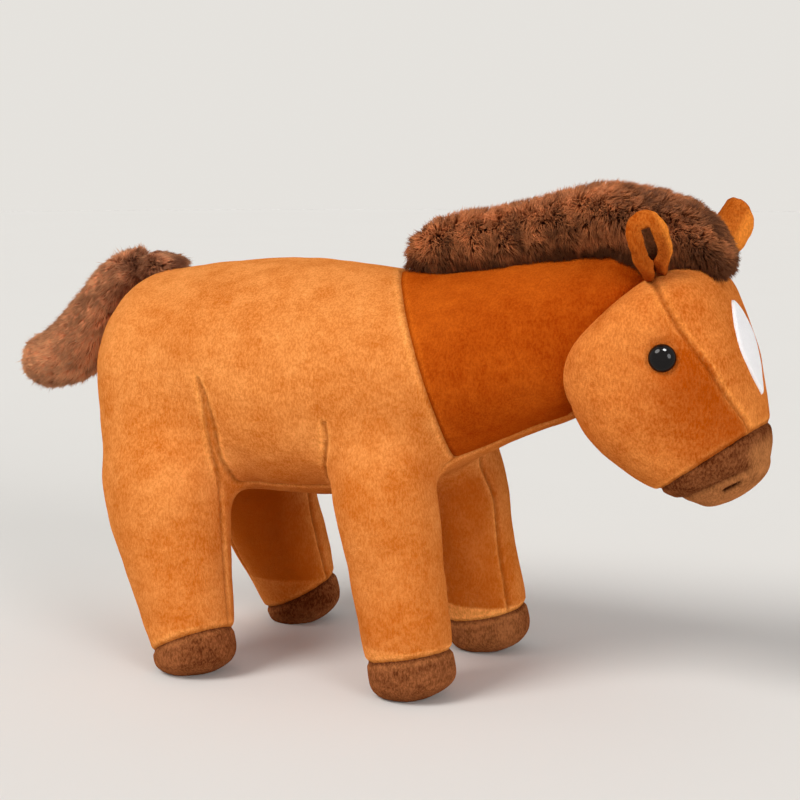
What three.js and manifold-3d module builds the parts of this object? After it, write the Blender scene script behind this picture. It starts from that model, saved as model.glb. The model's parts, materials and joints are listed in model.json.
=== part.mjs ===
// Plush horse standing on four stuffed legs, built as sewn covers over fibre stuffing.
// Millimetres. +X points to the nose, +Y to the horse's left, +Z up. The feet stand on Z = 0.
import * as THREE from "three";
import { mergeVertices } from "three/addons/utils/BufferGeometryUtils.js";
import Module from "manifold-3d";

const wasm = await Module();
wasm.setup();

// Cloth and clearances
const coverWall = 3; // short-pile plush, backing and pile together
const seamGap = 0.3; // between two panels at a seam
const fillGap = 0.3; // between a cover and the stuffing inside it
const reach = 1500; // side of the boxes that stand for half of space

// Trunk: body and neck are one stuffed tube, drawn station by station from the rump to the poll.
// back and forward are shares of the body's and the neck's length, both from where the two meet.
// z is over the body's axis. up, down and wide are the half sizes of the oval there, and lean is
// how many degrees the tube tips its nose up.
const bodyAxisHeight = 183;
const bodyLength = 175; // from where body and neck meet back to the rump's dome
const neckLength = 130; // from there forward to the poll
const bodyFront = 20; // where they meet, from the middle of the wheelbase
const rumpDepth = 50;
const rumpBluntness = 2.4; // 2 would be a round rump
const bodyStations = [
  { back: 1, z: 0, up: 67, down: 69, wide: 72, lean: 0 },
  { back: 0.74, z: 0, up: 74, down: 75, wide: 76, lean: 0 },
  { back: 0.49, z: 0, up: 76, down: 76, wide: 77, lean: 0 },
  { back: 0.23, z: 0, up: 74, down: 73, wide: 76, lean: 0 },
];
const neckStations = [
  { forward: 0, z: 4, up: 68, down: 64, wide: 72, lean: 6 },
  { forward: 0.32, z: 14, up: 61, down: 52, wide: 63, lean: 12 },
  { forward: 0.64, z: 25, up: 57, down: 45, wide: 54, lean: 14 },
  { forward: 1, z: 37, up: 52, down: 40, wide: 46, lean: 15 },
];
const rump = bodyFront - bodyLength;
const alongNeck = (forward) => bodyFront + neckLength * forward;
const trunkStations = [
  ...bodyStations.map(({ back, ...oval }) => ({ x: bodyFront - bodyLength * back, ...oval })),
  ...neckStations.map(({ forward, ...oval }) => ({ x: alongNeck(forward), ...oval })),
];
const trunkEndCap = 34; // inside the head
// The seam between body and neck starts at this point on the ridge, and runs forward as it goes
// down (lean) and out (sweep).
const neckSeam = { x: bodyFront - 18, z: 72, lean: 19, sweep: 19 };
// The panel under the belly: its half widths, and where it starts to narrow to the throat
const gusset = { chestX: bodyFront + 15, rear: 38, chest: 38, throat: 12 };

// Head: drawn along its own axis, from the poll down to the lips. z runs towards the face.
const headFromNeck = { x: 0, z: 19 }; // the head's origin, from the middle of the last trunk station
const headPitch = 54.2; // degrees that the face points down
const pollDepth = 31;
const pollBluntness = 2.8;
const headSquareness = 2.5; // 2 would be an oval
const headStations = [
  { x: 26, z: -5, up: 60, down: 56, wide: 57, lean: 0 },
  { x: 55, z: -6.5, up: 55, down: 56, wide: 56, lean: 0 },
  { x: 80, z: -6.5, up: 46.5, down: 49, wide: 49, lean: 0 },
  { x: 100, z: -6.5, up: 38.5, down: 41, wide: 42, lean: 0 },
  { x: 113, z: -5.5, up: 30, down: 32, wide: 35, lean: 0 },
  { x: 121, z: -5, up: 22, down: 24, wide: 27, lean: 0 },
];
const lipDepth = 9;
const muzzleSeam = 104; // along the head's axis
const mouth = { x: 121, lean: 3 }; // the seam between nose and lip
const brow = 45; // where the forehead panel is widest
const forehead = { poll: 30, brow: 38, nose: 22 }; // half widths of the panel between the cheeks
const blaze = { start: 33, length: 55, halfWidth: 16, thick: 1.2 };

// Eyes: domes on a shank, locked by a washer behind the cloth
const eye = { x: 42.5, z: 11.5, radius: 8, rise: 5.5, sink: 1.2 };
const shank = { radius: 2.5, length: 13, clearance: 0.3 };
const washer = { radius: 8, thick: 2, behindCloth: 2, bore: 0.2 };

// Ears: a plush back and a lining, folded into a cup and hinged on their sewn base
const ear = {
  x: { right: 0, left: 4 },
  angle: { right: 52, left: 60 }, // round the poll, in degrees above the side of the head
  height: 45,
  halfWidth: 20,
  wall: 3,
  lining: 2,
  cup: { right: 10.5, left: 13 }, // radius that each leaf is curled to
  lean: { right: 38, left: 20 }, // degrees that each ear tips outwards at rest
  forward: { right: -2, left: 21 }, // and forwards
  facing: 58, // degrees from straight ahead
  rootRadius: 3.4,
  stand: 2.4, // the hinge over the head's surface
  edge: 2.5, // rim of the back showing round the lining
};

// Mane: a roll of long fur from the withers to the forehead. height is over the ridge of the neck
// or the head, and lean is how many degrees the fur tips back there.
const maneOnNeck = [
  { forward: 0.03, height: 22, wide: 15, lean: 9 },
  { forward: 0.19, height: 33, wide: 18, lean: 8 },
  { forward: 0.54, height: 35, wide: 20, lean: 12 },
  { forward: 0.81, height: 38, wide: 22, lean: 8 },
  { forward: 1, height: 40, wide: 24, lean: 5 },
];
const maneOnHead = [
  { x: -3, height: 50, wide: 25, lean: 4 },
  { x: 8, height: 36, wide: 24, lean: 2 },
  { x: 16, height: 21, wide: 19, lean: -20 },
];
const maneBury = 8; // how far the roll would reach under the cloth before it is cut to sit on it
const maneCap = 10;

// Tail: a fur tube with its own stuffing, free to lift and swing on its sewn root
// dock.round is in degrees down the rump, and dock.outward is how far the pivot stands out of it
const dock = { round: 24, outward: 5, clearance: 0.5 };
const tailRootRadius = 11;
const tailStations = [
  { x: -13, z: 1, up: 11, down: 10, wide: 11, lean: 18 },
  { x: -30, z: -11, up: 16, down: 15, wide: 15, lean: 38 },
  { x: -50, z: -38, up: 19, down: 19, wide: 19, lean: 48 },
  { x: -68, z: -60, up: 22, down: 22, wide: 21, lean: 38 },
  { x: -88, z: -69, up: 19, down: 19, wide: 19, lean: 5 },
];
const tailStartCap = 6;
const tailEndCap = 20;
const tailWall = 4;

// Legs: the foot is the middle of the sole on the ground, and the lean goes up from there
const frontLeg = {
  name: "front",
  foot: { x: bodyFront + 20, y: 60 },
  back: 12,
  inward: 4,
  stations: [
    { x: 12, z: 0, up: 28, down: 28, wide: 27, lean: 0 },
    { x: 32, z: 0, up: 29, down: 29, wide: 28, lean: 0 },
    { x: 75, z: 0, up: 30, down: 31, wide: 30, lean: 0 },
    { x: 120, z: 0, up: 32, down: 34, wide: 32, lean: 0 },
    { x: 165, z: 0, up: 29, down: 31, wide: 22, lean: 0 },
  ],
};
const hindLeg = {
  name: "hind",
  foot: { x: rump + 49, y: 75 },
  back: 15,
  inward: 11,
  stations: [
    { x: 12, z: 0, up: 28, down: 28, wide: 27, lean: 0 },
    { x: 32, z: 0, up: 30, down: 29, wide: 29, lean: 0 },
    { x: 75, z: 0, up: 39, down: 33, wide: 34, lean: 0 },
    { x: 125, z: 0, up: 48, down: 40, wide: 38, lean: 0 },
    { x: 172, z: 0, up: 40, down: 40, wide: 26, lean: 0 },
  ],
};
const footCap = 15;
const hipCap = 16;
const hoofHeight = 26; // along the leg, from the ground to the seam of the hoof
const soleHeight = 5;

// Mesh fineness: points round an oval, and rings along it
const round = { trunk: 22, head: 22, leg: 14, tail: 12, mane: 12, eye: 12, ball: 18 };
const along = { trunk: 10, head: 6, leg: 4, tail: 7, mane: 14, ball: 12 };
const capRings = 3;

const radians = THREE.MathUtils.degToRad;
const acrossAxis = new THREE.Vector3(0, 1, 0);

// A stuffed form: an oval tube lofted through its stations, with a domed cap at each end.
// t runs from 0 at the first station to 1 at the last, down to -1 at the tip of the first dome and
// up to 2 at the tip of the last.
class StuffedForm {
  constructor({ stations, startCap, endCap, points, rings, bluntness = 2, squareness = 2, frame }) {
    this.middle = StuffedForm.curve(stations, (s) => [s.x, s.z, s.lean]);
    this.size = StuffedForm.curve(stations, (s) => [s.up, s.down, s.wide]);
    Object.assign(this, { startCap, endCap, points, rings, bluntness, squareness });
    this.frame = frame ?? new THREE.Matrix4();
  }

  static curve(stations, pick) {
    const knots = stations.map((s) => new THREE.Vector3(...pick(s)));
    return new THREE.CatmullRomCurve3(knots, false, "catmullrom");
  }

  // The oval's middle, axis and half sizes at t, all grown by a margin.
  oval(t, grow = 0) {
    const inTube = THREE.MathUtils.clamp(t, 0, 1);
    const middle = this.middle.getPoint(inTube);
    const size = this.size.getPoint(inTube);
    const lean = radians(middle.z);
    const axis = new THREE.Vector3(Math.cos(lean), 0, Math.sin(lean));
    const rise = new THREE.Vector3(-Math.sin(lean), 0, Math.cos(lean));
    const past = t < 0 ? -t : t - inTube;
    const advance = Math.sin((Math.min(past, 1) * Math.PI) / 2);
    const cap = t < 0 ? -(this.startCap + grow) : this.endCap + grow;
    const bluntness = t < 0 ? this.bluntness : 2;
    const shrink = (1 - advance ** bluntness) ** (1 / bluntness);
    return {
      centre: new THREE.Vector3(middle.x, 0, middle.y).addScaledVector(axis, advance * cap),
      rise,
      up: (size.x + grow) * shrink,
      down: (size.y + grow) * shrink,
      wide: (size.z + grow) * shrink,
    };
  }

  // A point on the surface. The angle starts at the +Y side and turns up over the top.
  point(t, angle, grow = 0) {
    const { centre, rise, up, down, wide } = this.oval(t, grow);
    const rounded = (value) => Math.sign(value) * Math.abs(value) ** (2 / this.squareness);
    const high = rounded(Math.sin(angle)) * (Math.sin(angle) > 0 ? up : down);
    return centre
      .clone()
      .addScaledVector(rise, high)
      .addScaledVector(acrossAxis, rounded(Math.cos(angle)) * wide)
      .applyMatrix4(this.frame);
  }

  // The outward normal there, from two short steps along the surface.
  normal(t, angle) {
    const step = 1e-3;
    const here = this.point(t, angle);
    const ahead = this.point(t + step, angle).sub(here);
    const turned = this.point(t, angle + step).sub(here);
    return turned.cross(ahead).normalize();
  }

  // The surface as a closed geometry, grown by a margin or shrunk by a negative one.
  geometry(grow = 0) {
    const places = [];
    for (let k = capRings - 1; k > 0; k--) places.push(-k / capRings);
    for (let k = 0; k <= this.rings; k++) places.push(k / this.rings);
    for (let k = 1; k < capRings; k++) places.push(1 + k / capRings);
    const positions = [];
    for (const t of places) {
      for (let j = 0; j < this.points; j++) {
        positions.push(...this.point(t, (j / this.points) * 2 * Math.PI, grow).toArray());
      }
    }
    const firstTip = positions.length / 3;
    positions.push(...this.point(-1, 0, grow).toArray(), ...this.point(2, 0, grow).toArray());
    const faces = [];
    const last = (places.length - 1) * this.points;
    for (let j = 0; j < this.points; j++) {
      const next = (j + 1) % this.points;
      for (let a = 0; a < last; a += this.points) {
        const b = a + this.points;
        faces.push(a + j, a + next, b + j, a + next, b + next, b + j);
      }
      faces.push(firstTip, next, j, firstTip + 1, last + j, last + next);
    }
    return indexed(positions, faces);
  }

  solid(grow = 0) {
    return solidFrom(this.geometry(grow));
  }

  // The cloth on this form, as a closed skin.
  skin() {
    return this.solid().subtract(this.solid(-coverWall));
  }
}

function indexed(positions, faces) {
  const made = new THREE.BufferGeometry();
  made.setAttribute("position", new THREE.Float32BufferAttribute(positions, 3));
  made.setIndex(faces);
  return made;
}

// A solid for cutting and joining, from a closed geometry moved by a matrix.
function solidFrom(geometry, matrix = new THREE.Matrix4()) {
  const bare = geometry.clone().applyMatrix4(matrix);
  bare.deleteAttribute("normal");
  bare.deleteAttribute("uv");
  const merged = mergeVertices(bare, 1e-4);
  const vertProperties = merged.getAttribute("position").array;
  const triVerts = new Uint32Array(merged.index.array);
  return new wasm.Manifold(new wasm.Mesh({ numProp: 3, vertProperties, triVerts }));
}

function geometryFrom(solid, matrix = new THREE.Matrix4()) {
  const mesh = solid.getMesh();
  const made = new THREE.BufferGeometry();
  made.setAttribute("position", new THREE.BufferAttribute(mesh.vertProperties, 3));
  made.setIndex(new THREE.BufferAttribute(mesh.triVerts, 1));
  made.applyMatrix4(matrix);
  made.computeVertexNormals();
  return made;
}

// Half of space: everything on the normal's side of a plane through a point.
function halfSpace(point, normal, shift = 0) {
  const turn = new THREE.Quaternion().setFromUnitVectors(new THREE.Vector3(0, 0, 1), normal);
  const place = point.clone().addScaledVector(normal, reach / 2 + shift);
  const matrix = new THREE.Matrix4().compose(place, turn, new THREE.Vector3(1, 1, 1));
  return solidFrom(new THREE.BoxGeometry(reach, reach, reach), matrix);
}

// A prism with this outline in a frame's XY plane, from one height to another.
function prism(outline, low, high, matrix) {
  const shape = new THREE.Shape(outline.map(([x, y]) => new THREE.Vector2(x, y)));
  const geometry = new THREE.ExtrudeGeometry(shape, { depth: high - low, bevelEnabled: false });
  return solidFrom(geometry.translate(0, 0, low), matrix);
}

// A lathed solid about its own Z axis.
function turned(profile, segments, matrix) {
  const points = profile.map(([r, z]) => new THREE.Vector2(r, z));
  const geometry = new THREE.LatheGeometry(points, segments).rotateX(Math.PI / 2);
  return solidFrom(geometry, matrix);
}

function ball(radius, centre) {
  const geometry = new THREE.SphereGeometry(radius, round.ball, along.ball);
  return solidFrom(geometry.translate(...centre.toArray()));
}

const rightSide = halfSpace(new THREE.Vector3(), new THREE.Vector3(0, -1, 0), seamGap / 2);
const leftSide = halfSpace(new THREE.Vector3(), new THREE.Vector3(0, 1, 0), seamGap / 2);
const aboveGround = halfSpace(new THREE.Vector3(), new THREE.Vector3(0, 0, 1));

// Colours and finishes
const plush = (color) => new THREE.MeshStandardMaterial({ color, roughness: 0.95, metalness: 0 });
const tanPlush = plush(0xc9701f);
const rustPlush = plush(0xa84a0c);
const hoofPlush = plush(0x5f3a2a);
const whitePlush = plush(0xf2f0ee);
const brownFur = plush(0x4f2a15);
const earLiningPlush = plush(0x6a3418);
const fibre = plush(0xf4f4f0);
const blackPlastic = new THREE.MeshStandardMaterial({ color: 0x0b0b0c, roughness: 0.12, metalness: 0 });
const whitePlastic = new THREE.MeshStandardMaterial({ color: 0xe6e6e2, roughness: 0.5, metalness: 0 });

const horse = new THREE.Group();

// A named piece in the horse's frame, or in the frame of a group that carries it.
function addPiece(name, solid, material, group = horse) {
  group.updateMatrixWorld(true);
  const mesh = new THREE.Mesh(geometryFrom(solid, group.matrixWorld.clone().invert()), material);
  mesh.name = name;
  group.add(mesh);
  return mesh;
}

// The stuffed forms of trunk and head

const trunk = new StuffedForm({
  stations: trunkStations,
  startCap: rumpDepth,
  endCap: trunkEndCap,
  points: round.trunk,
  rings: along.trunk,
  bluntness: rumpBluntness,
  frame: new THREE.Matrix4().makeTranslation(0, 0, bodyAxisHeight),
});
const neckEnd = trunkStations.at(-1);
const headFrame = new THREE.Matrix4()
  .makeRotationY(radians(headPitch))
  .setPosition(neckEnd.x + headFromNeck.x, 0, bodyAxisHeight + neckEnd.z + headFromNeck.z);
const head = new StuffedForm({
  stations: headStations,
  startCap: pollDepth,
  endCap: lipDepth,
  points: round.head,
  rings: along.head,
  bluntness: pollBluntness,
  squareness: headSquareness,
  frame: headFrame,
});

// Where x along a form's own axis falls on its scale of t, by halving.
function placeAlong(form, x) {
  let low = -1;
  let high = 2;
  for (let k = 0; k < 40; k++) {
    const middle = (low + high) / 2;
    if (form.oval(middle).centre.x < x) low = middle;
    else high = middle;
  }
  return (low + high) / 2;
}

function inHead(x, y, z) {
  return new THREE.Vector3(x, y, z).applyMatrix4(headFrame);
}

const headAxis = new THREE.Vector3(1, 0, 0).transformDirection(headFrame);

// Legs

function legFrame(leg, side) {
  const foot = new THREE.Vector3(leg.foot.x, side * leg.foot.y, 0);
  const upwards = new THREE.Vector3(-Math.tan(radians(leg.back)), -side * Math.tan(radians(leg.inward)), 1);
  const axis = upwards.normalize();
  const forwards = new THREE.Vector3().crossVectors(acrossAxis, axis).normalize();
  const across = new THREE.Vector3().crossVectors(forwards, axis).negate();
  const rearwards = forwards.clone().negate();
  return new THREE.Matrix4().makeBasis(axis, across, rearwards).setPosition(foot);
}

function legForm(leg, side) {
  return new StuffedForm({
    stations: leg.stations,
    startCap: footCap,
    endCap: hipCap,
    points: round.leg,
    rings: along.leg,
    frame: legFrame(leg, side),
  });
}

const trunkOuter = trunk.solid();
const trunkClear = trunk.solid(seamGap);
const trunkInner = trunk.solid(-coverWall);
const headOuter = head.solid();
const headClear = head.solid(seamGap);
const headInner = head.solid(-coverWall);

const legs = [];
for (const leg of [frontLeg, hindLeg]) {
  for (const [sideName, side] of [["right", -1], ["left", 1]]) {
    const form = legForm(leg, side);
    legs.push({ name: `${leg.name}_${sideName}`, form, frame: form.frame, inner: form.solid(-coverWall) });
  }
}

for (const { name, form, frame, inner } of legs) {
  const axis = new THREE.Vector3(1, 0, 0).transformDirection(frame);
  const foot = new THREE.Vector3().setFromMatrixPosition(frame);
  const cuff = foot.clone().addScaledVector(axis, hoofHeight);
  const soleTop = new THREE.Vector3(0, 0, soleHeight);
  const up = new THREE.Vector3(0, 0, 1);
  const down = up.clone().negate();
  const floorSkin = inner.intersect(halfSpace(new THREE.Vector3(0, 0, coverWall), up));
  const skin = form.solid().intersect(aboveGround).subtract(floorSkin).subtract(trunkClear);
  const belowCuff = halfSpace(cuff, axis.clone().negate(), seamGap / 2);
  const aboveCuff = halfSpace(cuff, axis, seamGap / 2);
  addPiece(`leg_${name}_cover`, skin.intersect(aboveCuff), tanPlush);
  const hoofBand = halfSpace(soleTop, up, seamGap / 2).intersect(belowCuff);
  addPiece(`hoof_${name}`, skin.intersect(hoofBand), hoofPlush);
  addPiece(`sole_${name}`, skin.intersect(halfSpace(soleTop, down, seamGap / 2)), hoofPlush);
  const fill = form
    .solid(-coverWall - fillGap)
    .intersect(halfSpace(new THREE.Vector3(0, 0, coverWall + fillGap), up))
    .subtract(trunkInner);
  addPiece(`stuffing_leg_${name}`, fill, fibre);
}

// Trunk covers: two body sides, two neck sides and the gusset under the belly, chest and throat

const tailRoot = { t: -dock.round / 90, angle: Math.PI / 2 };
const dockPoint = trunk.point(tailRoot.t, tailRoot.angle);
const tailPivot = dockPoint.addScaledVector(trunk.normal(tailRoot.t, tailRoot.angle), dock.outward);

function trunkSkin() {
  const socket = ball(tailRootRadius + dock.clearance, tailPivot);
  const socketLining = ball(tailRootRadius + dock.clearance + coverWall, tailPivot);
  const fill = trunkInner.subtract(socketLining);
  let skin = trunkOuter.subtract(socket).subtract(fill).subtract(headClear);
  for (const leg of legs) skin = skin.subtract(leg.inner);
  return skin;
}

function gussetPrism(margin) {
  const first = trunkStations[0].x - 2 * rumpDepth;
  const chestX = gusset.chestX;
  const lastX = neckEnd.x;
  const halfOutline = [
    [first, gusset.rear + margin],
    [chestX, gusset.chest + margin],
    [lastX, gusset.throat + margin],
  ];
  const mirrored = halfOutline.map(([x, y]) => [x, -y]);
  return prism([...mirrored, ...halfOutline.reverse()], 0, bodyAxisHeight, new THREE.Matrix4());
}

const seamPoint = new THREE.Vector3(neckSeam.x, 0, bodyAxisHeight + neckSeam.z);

const wholeTrunkSkin = trunkSkin();
const trunkSides = wholeTrunkSkin.subtract(gussetPrism(seamGap / 2));
addPiece("belly_panel", wholeTrunkSkin.intersect(gussetPrism(-seamGap / 2)), tanPlush);
for (const [sideName, side, region] of [["right", -1, rightSide], ["left", 1, leftSide]]) {
  const half = trunkSides.intersect(region);
  const outAndDown = [-side * Math.tan(radians(neckSeam.sweep)), Math.tan(radians(neckSeam.lean))];
  const seamNormal = new THREE.Vector3(1, ...outAndDown).normalize();
  const neckRegion = halfSpace(seamPoint, seamNormal, seamGap / 2);
  const bodyRegion = halfSpace(seamPoint, seamNormal.clone().negate(), seamGap / 2);
  addPiece(`body_side_${sideName}`, half.intersect(bodyRegion), tanPlush);
  addPiece(`neck_side_${sideName}`, half.intersect(neckRegion), rustPlush);
}
const socketInFill = ball(tailRootRadius + dock.clearance + coverWall + fillGap, tailPivot);
const bodyFill = trunk.solid(-coverWall - fillGap).subtract(socketInFill).subtract(headInner);
addPiece("stuffing_body", bodyFill, fibre);

// Eyes, as frames on the head's surface whose Z axis points out

function surfaceFrame(form, t, angle, sink) {
  const outwards = form.normal(t, angle);
  const turn = new THREE.Quaternion().setFromUnitVectors(new THREE.Vector3(0, 0, 1), outwards);
  const place = form.point(t, angle).addScaledVector(outwards, -sink);
  return new THREE.Matrix4().compose(place, turn, new THREE.Vector3(1, 1, 1));
}

function eyeFrame(side) {
  const t = placeAlong(head, eye.x);
  const { centre, up } = head.oval(t);
  const high = Math.asin((eye.z - centre.z) / up);
  return surfaceFrame(head, t, side > 0 ? high : Math.PI - high, eye.sink);
}

function eyeProfile() {
  const dome = [];
  const steps = 6;
  for (let k = 0; k < steps; k++) {
    const a = (k / steps) * (Math.PI / 2);
    dome.push([eye.radius * Math.cos(a), eye.rise * Math.sin(a)]);
  }
  const tip = shank.radius * 0.7;
  return [[0, -shank.length], [tip, -shank.length], [shank.radius, tip - shank.length],
    [shank.radius, 0], ...dome, [0, eye.rise]];
}

function cylinder(radius, low, high, matrix) {
  return turned([[0, low], [radius, low], [radius, high], [0, high]], round.eye, matrix);
}

const washerTop = eye.sink - coverWall - washer.behindCloth;
const washerBottom = washerTop - washer.thick;
const eyes = [["right", -1], ["left", 1]].map(([sideName, side]) => {
  const frame = eyeFrame(side);
  const seat = cylinder(eye.radius + seamGap, -seamGap, reach / 10, frame);
  const hole = cylinder(shank.radius + shank.clearance, -shank.length - fillGap, 0, frame);
  const room = cylinder(washer.radius + fillGap, washerBottom - fillGap, washerTop + fillGap, frame);
  const bore = shank.radius + washer.bore;
  const ring = turned(
    [[bore, washerBottom], [washer.radius, washerBottom], [washer.radius, washerTop],
      [bore, washerTop], [bore, washerBottom]],
    round.eye,
    frame,
  );
  addPiece(`eye_${sideName}`, turned(eyeProfile(), round.eye, frame), blackPlastic);
  addPiece(`eye_washer_${sideName}`, ring, whitePlastic);
  return { seat, hole, room };
});

// Ear hinges: a rod of gathered cloth along the sewn base, lying in a groove of the head

function earHinge(sideName, side) {
  const t = placeAlong(head, ear.x[sideName]);
  const above = radians(ear.angle[sideName]);
  const angle = side > 0 ? above : Math.PI - above;
  const base = head.point(t, angle).addScaledVector(head.normal(t, angle), ear.stand);
  const facing = side * radians(ear.facing);
  const opening = new THREE.Vector3(Math.cos(facing), Math.sin(facing), 0);
  const tilt = radians(ear.lean[sideName]);
  const tip = radians(ear.forward[sideName]);
  const rise = new THREE.Vector3(0, side * Math.sin(tilt), Math.cos(tilt))
    .multiplyScalar(Math.cos(tip))
    .add(new THREE.Vector3(Math.sin(tip), 0, 0));
  const across = new THREE.Vector3().crossVectors(opening, rise).normalize();
  const out = new THREE.Vector3().crossVectors(rise, across);
  const group = new THREE.Group();
  group.name = `ear_${sideName}_hinge`;
  group.applyMatrix4(new THREE.Matrix4().makeBasis(across, out, rise).setPosition(base));
  horse.add(group);
  group.updateMatrixWorld(true);
  const rod = (margin) => {
    const radius = ear.rootRadius + margin;
    const length = 2 * (leafHalfWidth(0) + margin);
    const geometry = new THREE.CylinderGeometry(radius, radius, length, 12).rotateZ(Math.PI / 2);
    return solidFrom(geometry, group.matrixWorld);
  };
  return { sideName, group, rod };
}

const ears = [earHinge("right", -1), earHinge("left", 1)];

// Head covers: two cheeks, the forehead between them, nose and lip

function foreheadPrism(margin) {
  const start = -pollDepth;
  const halfOutline = [
    [start, forehead.poll + margin],
    [brow, forehead.brow + margin],
    [muzzleSeam, forehead.nose + margin],
  ];
  const mirrored = halfOutline.map(([x, y]) => [x, -y]);
  return prism([...mirrored, ...halfOutline.reverse()], 0, reach / 10, headFrame);
}

let headSkin = headOuter.subtract(headInner).subtract(trunkInner);
for (const { seat, hole } of eyes) headSkin = headSkin.subtract(seat).subtract(hole);
for (const { rod } of ears) headSkin = headSkin.subtract(rod(seamGap));
const muzzleStart = inHead(muzzleSeam, 0, 0);
const face = headSkin.intersect(halfSpace(muzzleStart, headAxis.clone().negate(), seamGap / 2));
const muzzle = headSkin.intersect(halfSpace(muzzleStart, headAxis, seamGap / 2));
addPiece("forehead_panel", face.intersect(foreheadPrism(-seamGap / 2)), tanPlush);
const cheeks = face.subtract(foreheadPrism(seamGap / 2));
addPiece("head_side_right", cheeks.intersect(rightSide), tanPlush);
addPiece("head_side_left", cheeks.intersect(leftSide), tanPlush);
const mouthTilt = radians(mouth.lean);
const mouthNormal = new THREE.Vector3(Math.cos(mouthTilt), 0, -Math.sin(mouthTilt)).transformDirection(headFrame);
const mouthPoint = inHead(mouth.x, 0, 0);
const noseRegion = halfSpace(mouthPoint, mouthNormal.clone().negate(), seamGap / 2);
addPiece("nose", muzzle.intersect(noseRegion), hoofPlush);
addPiece("lip", muzzle.intersect(halfSpace(mouthPoint, mouthNormal, seamGap / 2)), hoofPlush);
let headFill = head.solid(-coverWall - fillGap);
for (const { hole, room } of eyes) headFill = headFill.subtract(room).subtract(hole);
addPiece("stuffing_head", headFill, fibre);

// Blaze: a white spindle of plush stitched on the forehead

function blazeOutline() {
  const edge = [];
  const steps = 8;
  for (let k = 0; k <= steps; k++) {
    const share = k / steps;
    edge.push([blaze.start + blaze.length * share, blaze.halfWidth * Math.sin(Math.PI * share) ** 0.8]);
  }
  const other = edge.slice(1, -1).map(([x, y]) => [x, -y]);
  return [...other, ...edge.reverse()];
}

const blazePrism = prism(blazeOutline(), 0, reach / 10, headFrame);
const blazeSkin = head.solid(seamGap + blaze.thick).subtract(headClear);
addPiece("blaze_patch", blazeSkin.intersect(blazePrism), whitePlush);

// Mane

function ridgeStation(form, station) {
  const t = placeAlong(form, station.x);
  const foot = form.point(t, Math.PI / 2);
  const tip = radians(station.lean);
  const rise = new THREE.Vector3(-Math.sin(tip), 0, Math.cos(tip));
  const half = (station.height + maneBury) / 2;
  const middle = foot.addScaledVector(rise, half - maneBury);
  return { x: middle.x, z: middle.z, up: half, down: half, wide: station.wide, lean: station.lean };
}

const mane = new StuffedForm({
  stations: [
    ...maneOnNeck.map((s) => ridgeStation(trunk, { ...s, x: alongNeck(s.forward) })),
    ...maneOnHead.map((station) => ridgeStation(head, station)),
  ],
  startCap: maneCap,
  endCap: maneCap,
  points: round.mane,
  rings: along.mane,
});
addPiece("mane", mane.solid().subtract(trunkClear).subtract(headClear), brownFur);

// Tail: the root tab turns in the rump, and the tube lifts on it

const tailGroup = new THREE.Group();
tailGroup.name = "tail_pivot";
tailGroup.position.copy(tailPivot);
horse.add(tailGroup);
const tailForm = new StuffedForm({
  stations: tailStations.map((s) => ({ ...s, lean: s.lean + 180 })),
  startCap: tailStartCap,
  endCap: tailEndCap,
  points: round.tail,
  rings: along.tail,
  frame: new THREE.Matrix4().makeTranslation(...tailPivot.toArray()),
});
const rootBall = ball(tailRootRadius, tailPivot);
const rootClear = ball(tailRootRadius + seamGap, tailPivot);
addPiece("tail_root", rootBall, brownFur, tailGroup);
const tailSkin = tailForm.solid().subtract(tailForm.solid(-tailWall)).subtract(rootClear);
addPiece("tail_cover", tailSkin, brownFur, tailGroup);
addPiece("stuffing_tail", tailForm.solid(-tailWall - fillGap).subtract(rootClear), fibre, tailGroup);

// Ears: a leaf of cloth bent round a fold. The leaf's own frame has X across it, Y out of the cup
// and Z up it, with the sewn base on the X axis.

function leafHalfWidth(share) {
  const widest = 0.55;
  const base = 0.4;
  if (share < widest) {
    const rise = share / widest;
    return ear.halfWidth * (base + (1 - base) * Math.sin((rise * Math.PI) / 2));
  }
  const rest = (share - widest) / (1 - widest);
  return ear.halfWidth * Math.sqrt(Math.max(0.12, 1 - rest ** 3));
}

// One layer of the leaf, between two distances out from the cloth, kept inside its edge.
function leafLayer(inside, outside, inset, cup, matrix) {
  const rows = 6;
  const columns = 8;
  const base = inset > 0 ? ear.rootRadius + inset : 0;
  const top = ear.height - inset;
  const positions = [];
  for (const offset of [inside, outside]) {
    for (let i = 0; i <= rows; i++) {
      const height = base + (top - base) * Math.sin((i / rows) * (Math.PI / 2));
      const share = height / ear.height;
      const fold = cup / Math.sin((Math.PI / 2) * Math.min(1, 0.12 + share * 1.9));
      const half = Math.max(leafHalfWidth(share) - inset, 1);
      for (let j = 0; j <= columns; j++) {
        const bend = ((2 * j) / columns - 1) * (half / fold);
        const radius = fold - offset;
        positions.push(Math.sin(bend) * radius, fold - Math.cos(bend) * radius, height);
      }
    }
  }
  const row = columns + 1;
  const sheet = (rows + 1) * row;
  const faces = [];
  const quad = (a, b, c, d) => faces.push(a, c, b, a, d, c);
  for (let i = 0; i < rows; i++) {
    for (let j = 0; j < columns; j++) {
      const a = i * row + j;
      quad(a, a + row, a + row + 1, a + 1);
      quad(sheet + a, sheet + a + 1, sheet + a + row + 1, sheet + a + row);
    }
    quad(i * row, sheet + i * row, sheet + (i + 1) * row, (i + 1) * row);
    const end = i * row + columns;
    quad(end, end + row, sheet + end + row, sheet + end);
  }
  for (let j = 0; j < columns; j++) {
    quad(j, j + 1, sheet + j + 1, sheet + j);
    const top = rows * row + j;
    quad(top, sheet + top, sheet + top + 1, top + 1);
  }
  return solidFrom(indexed(positions, faces), matrix);
}

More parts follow.
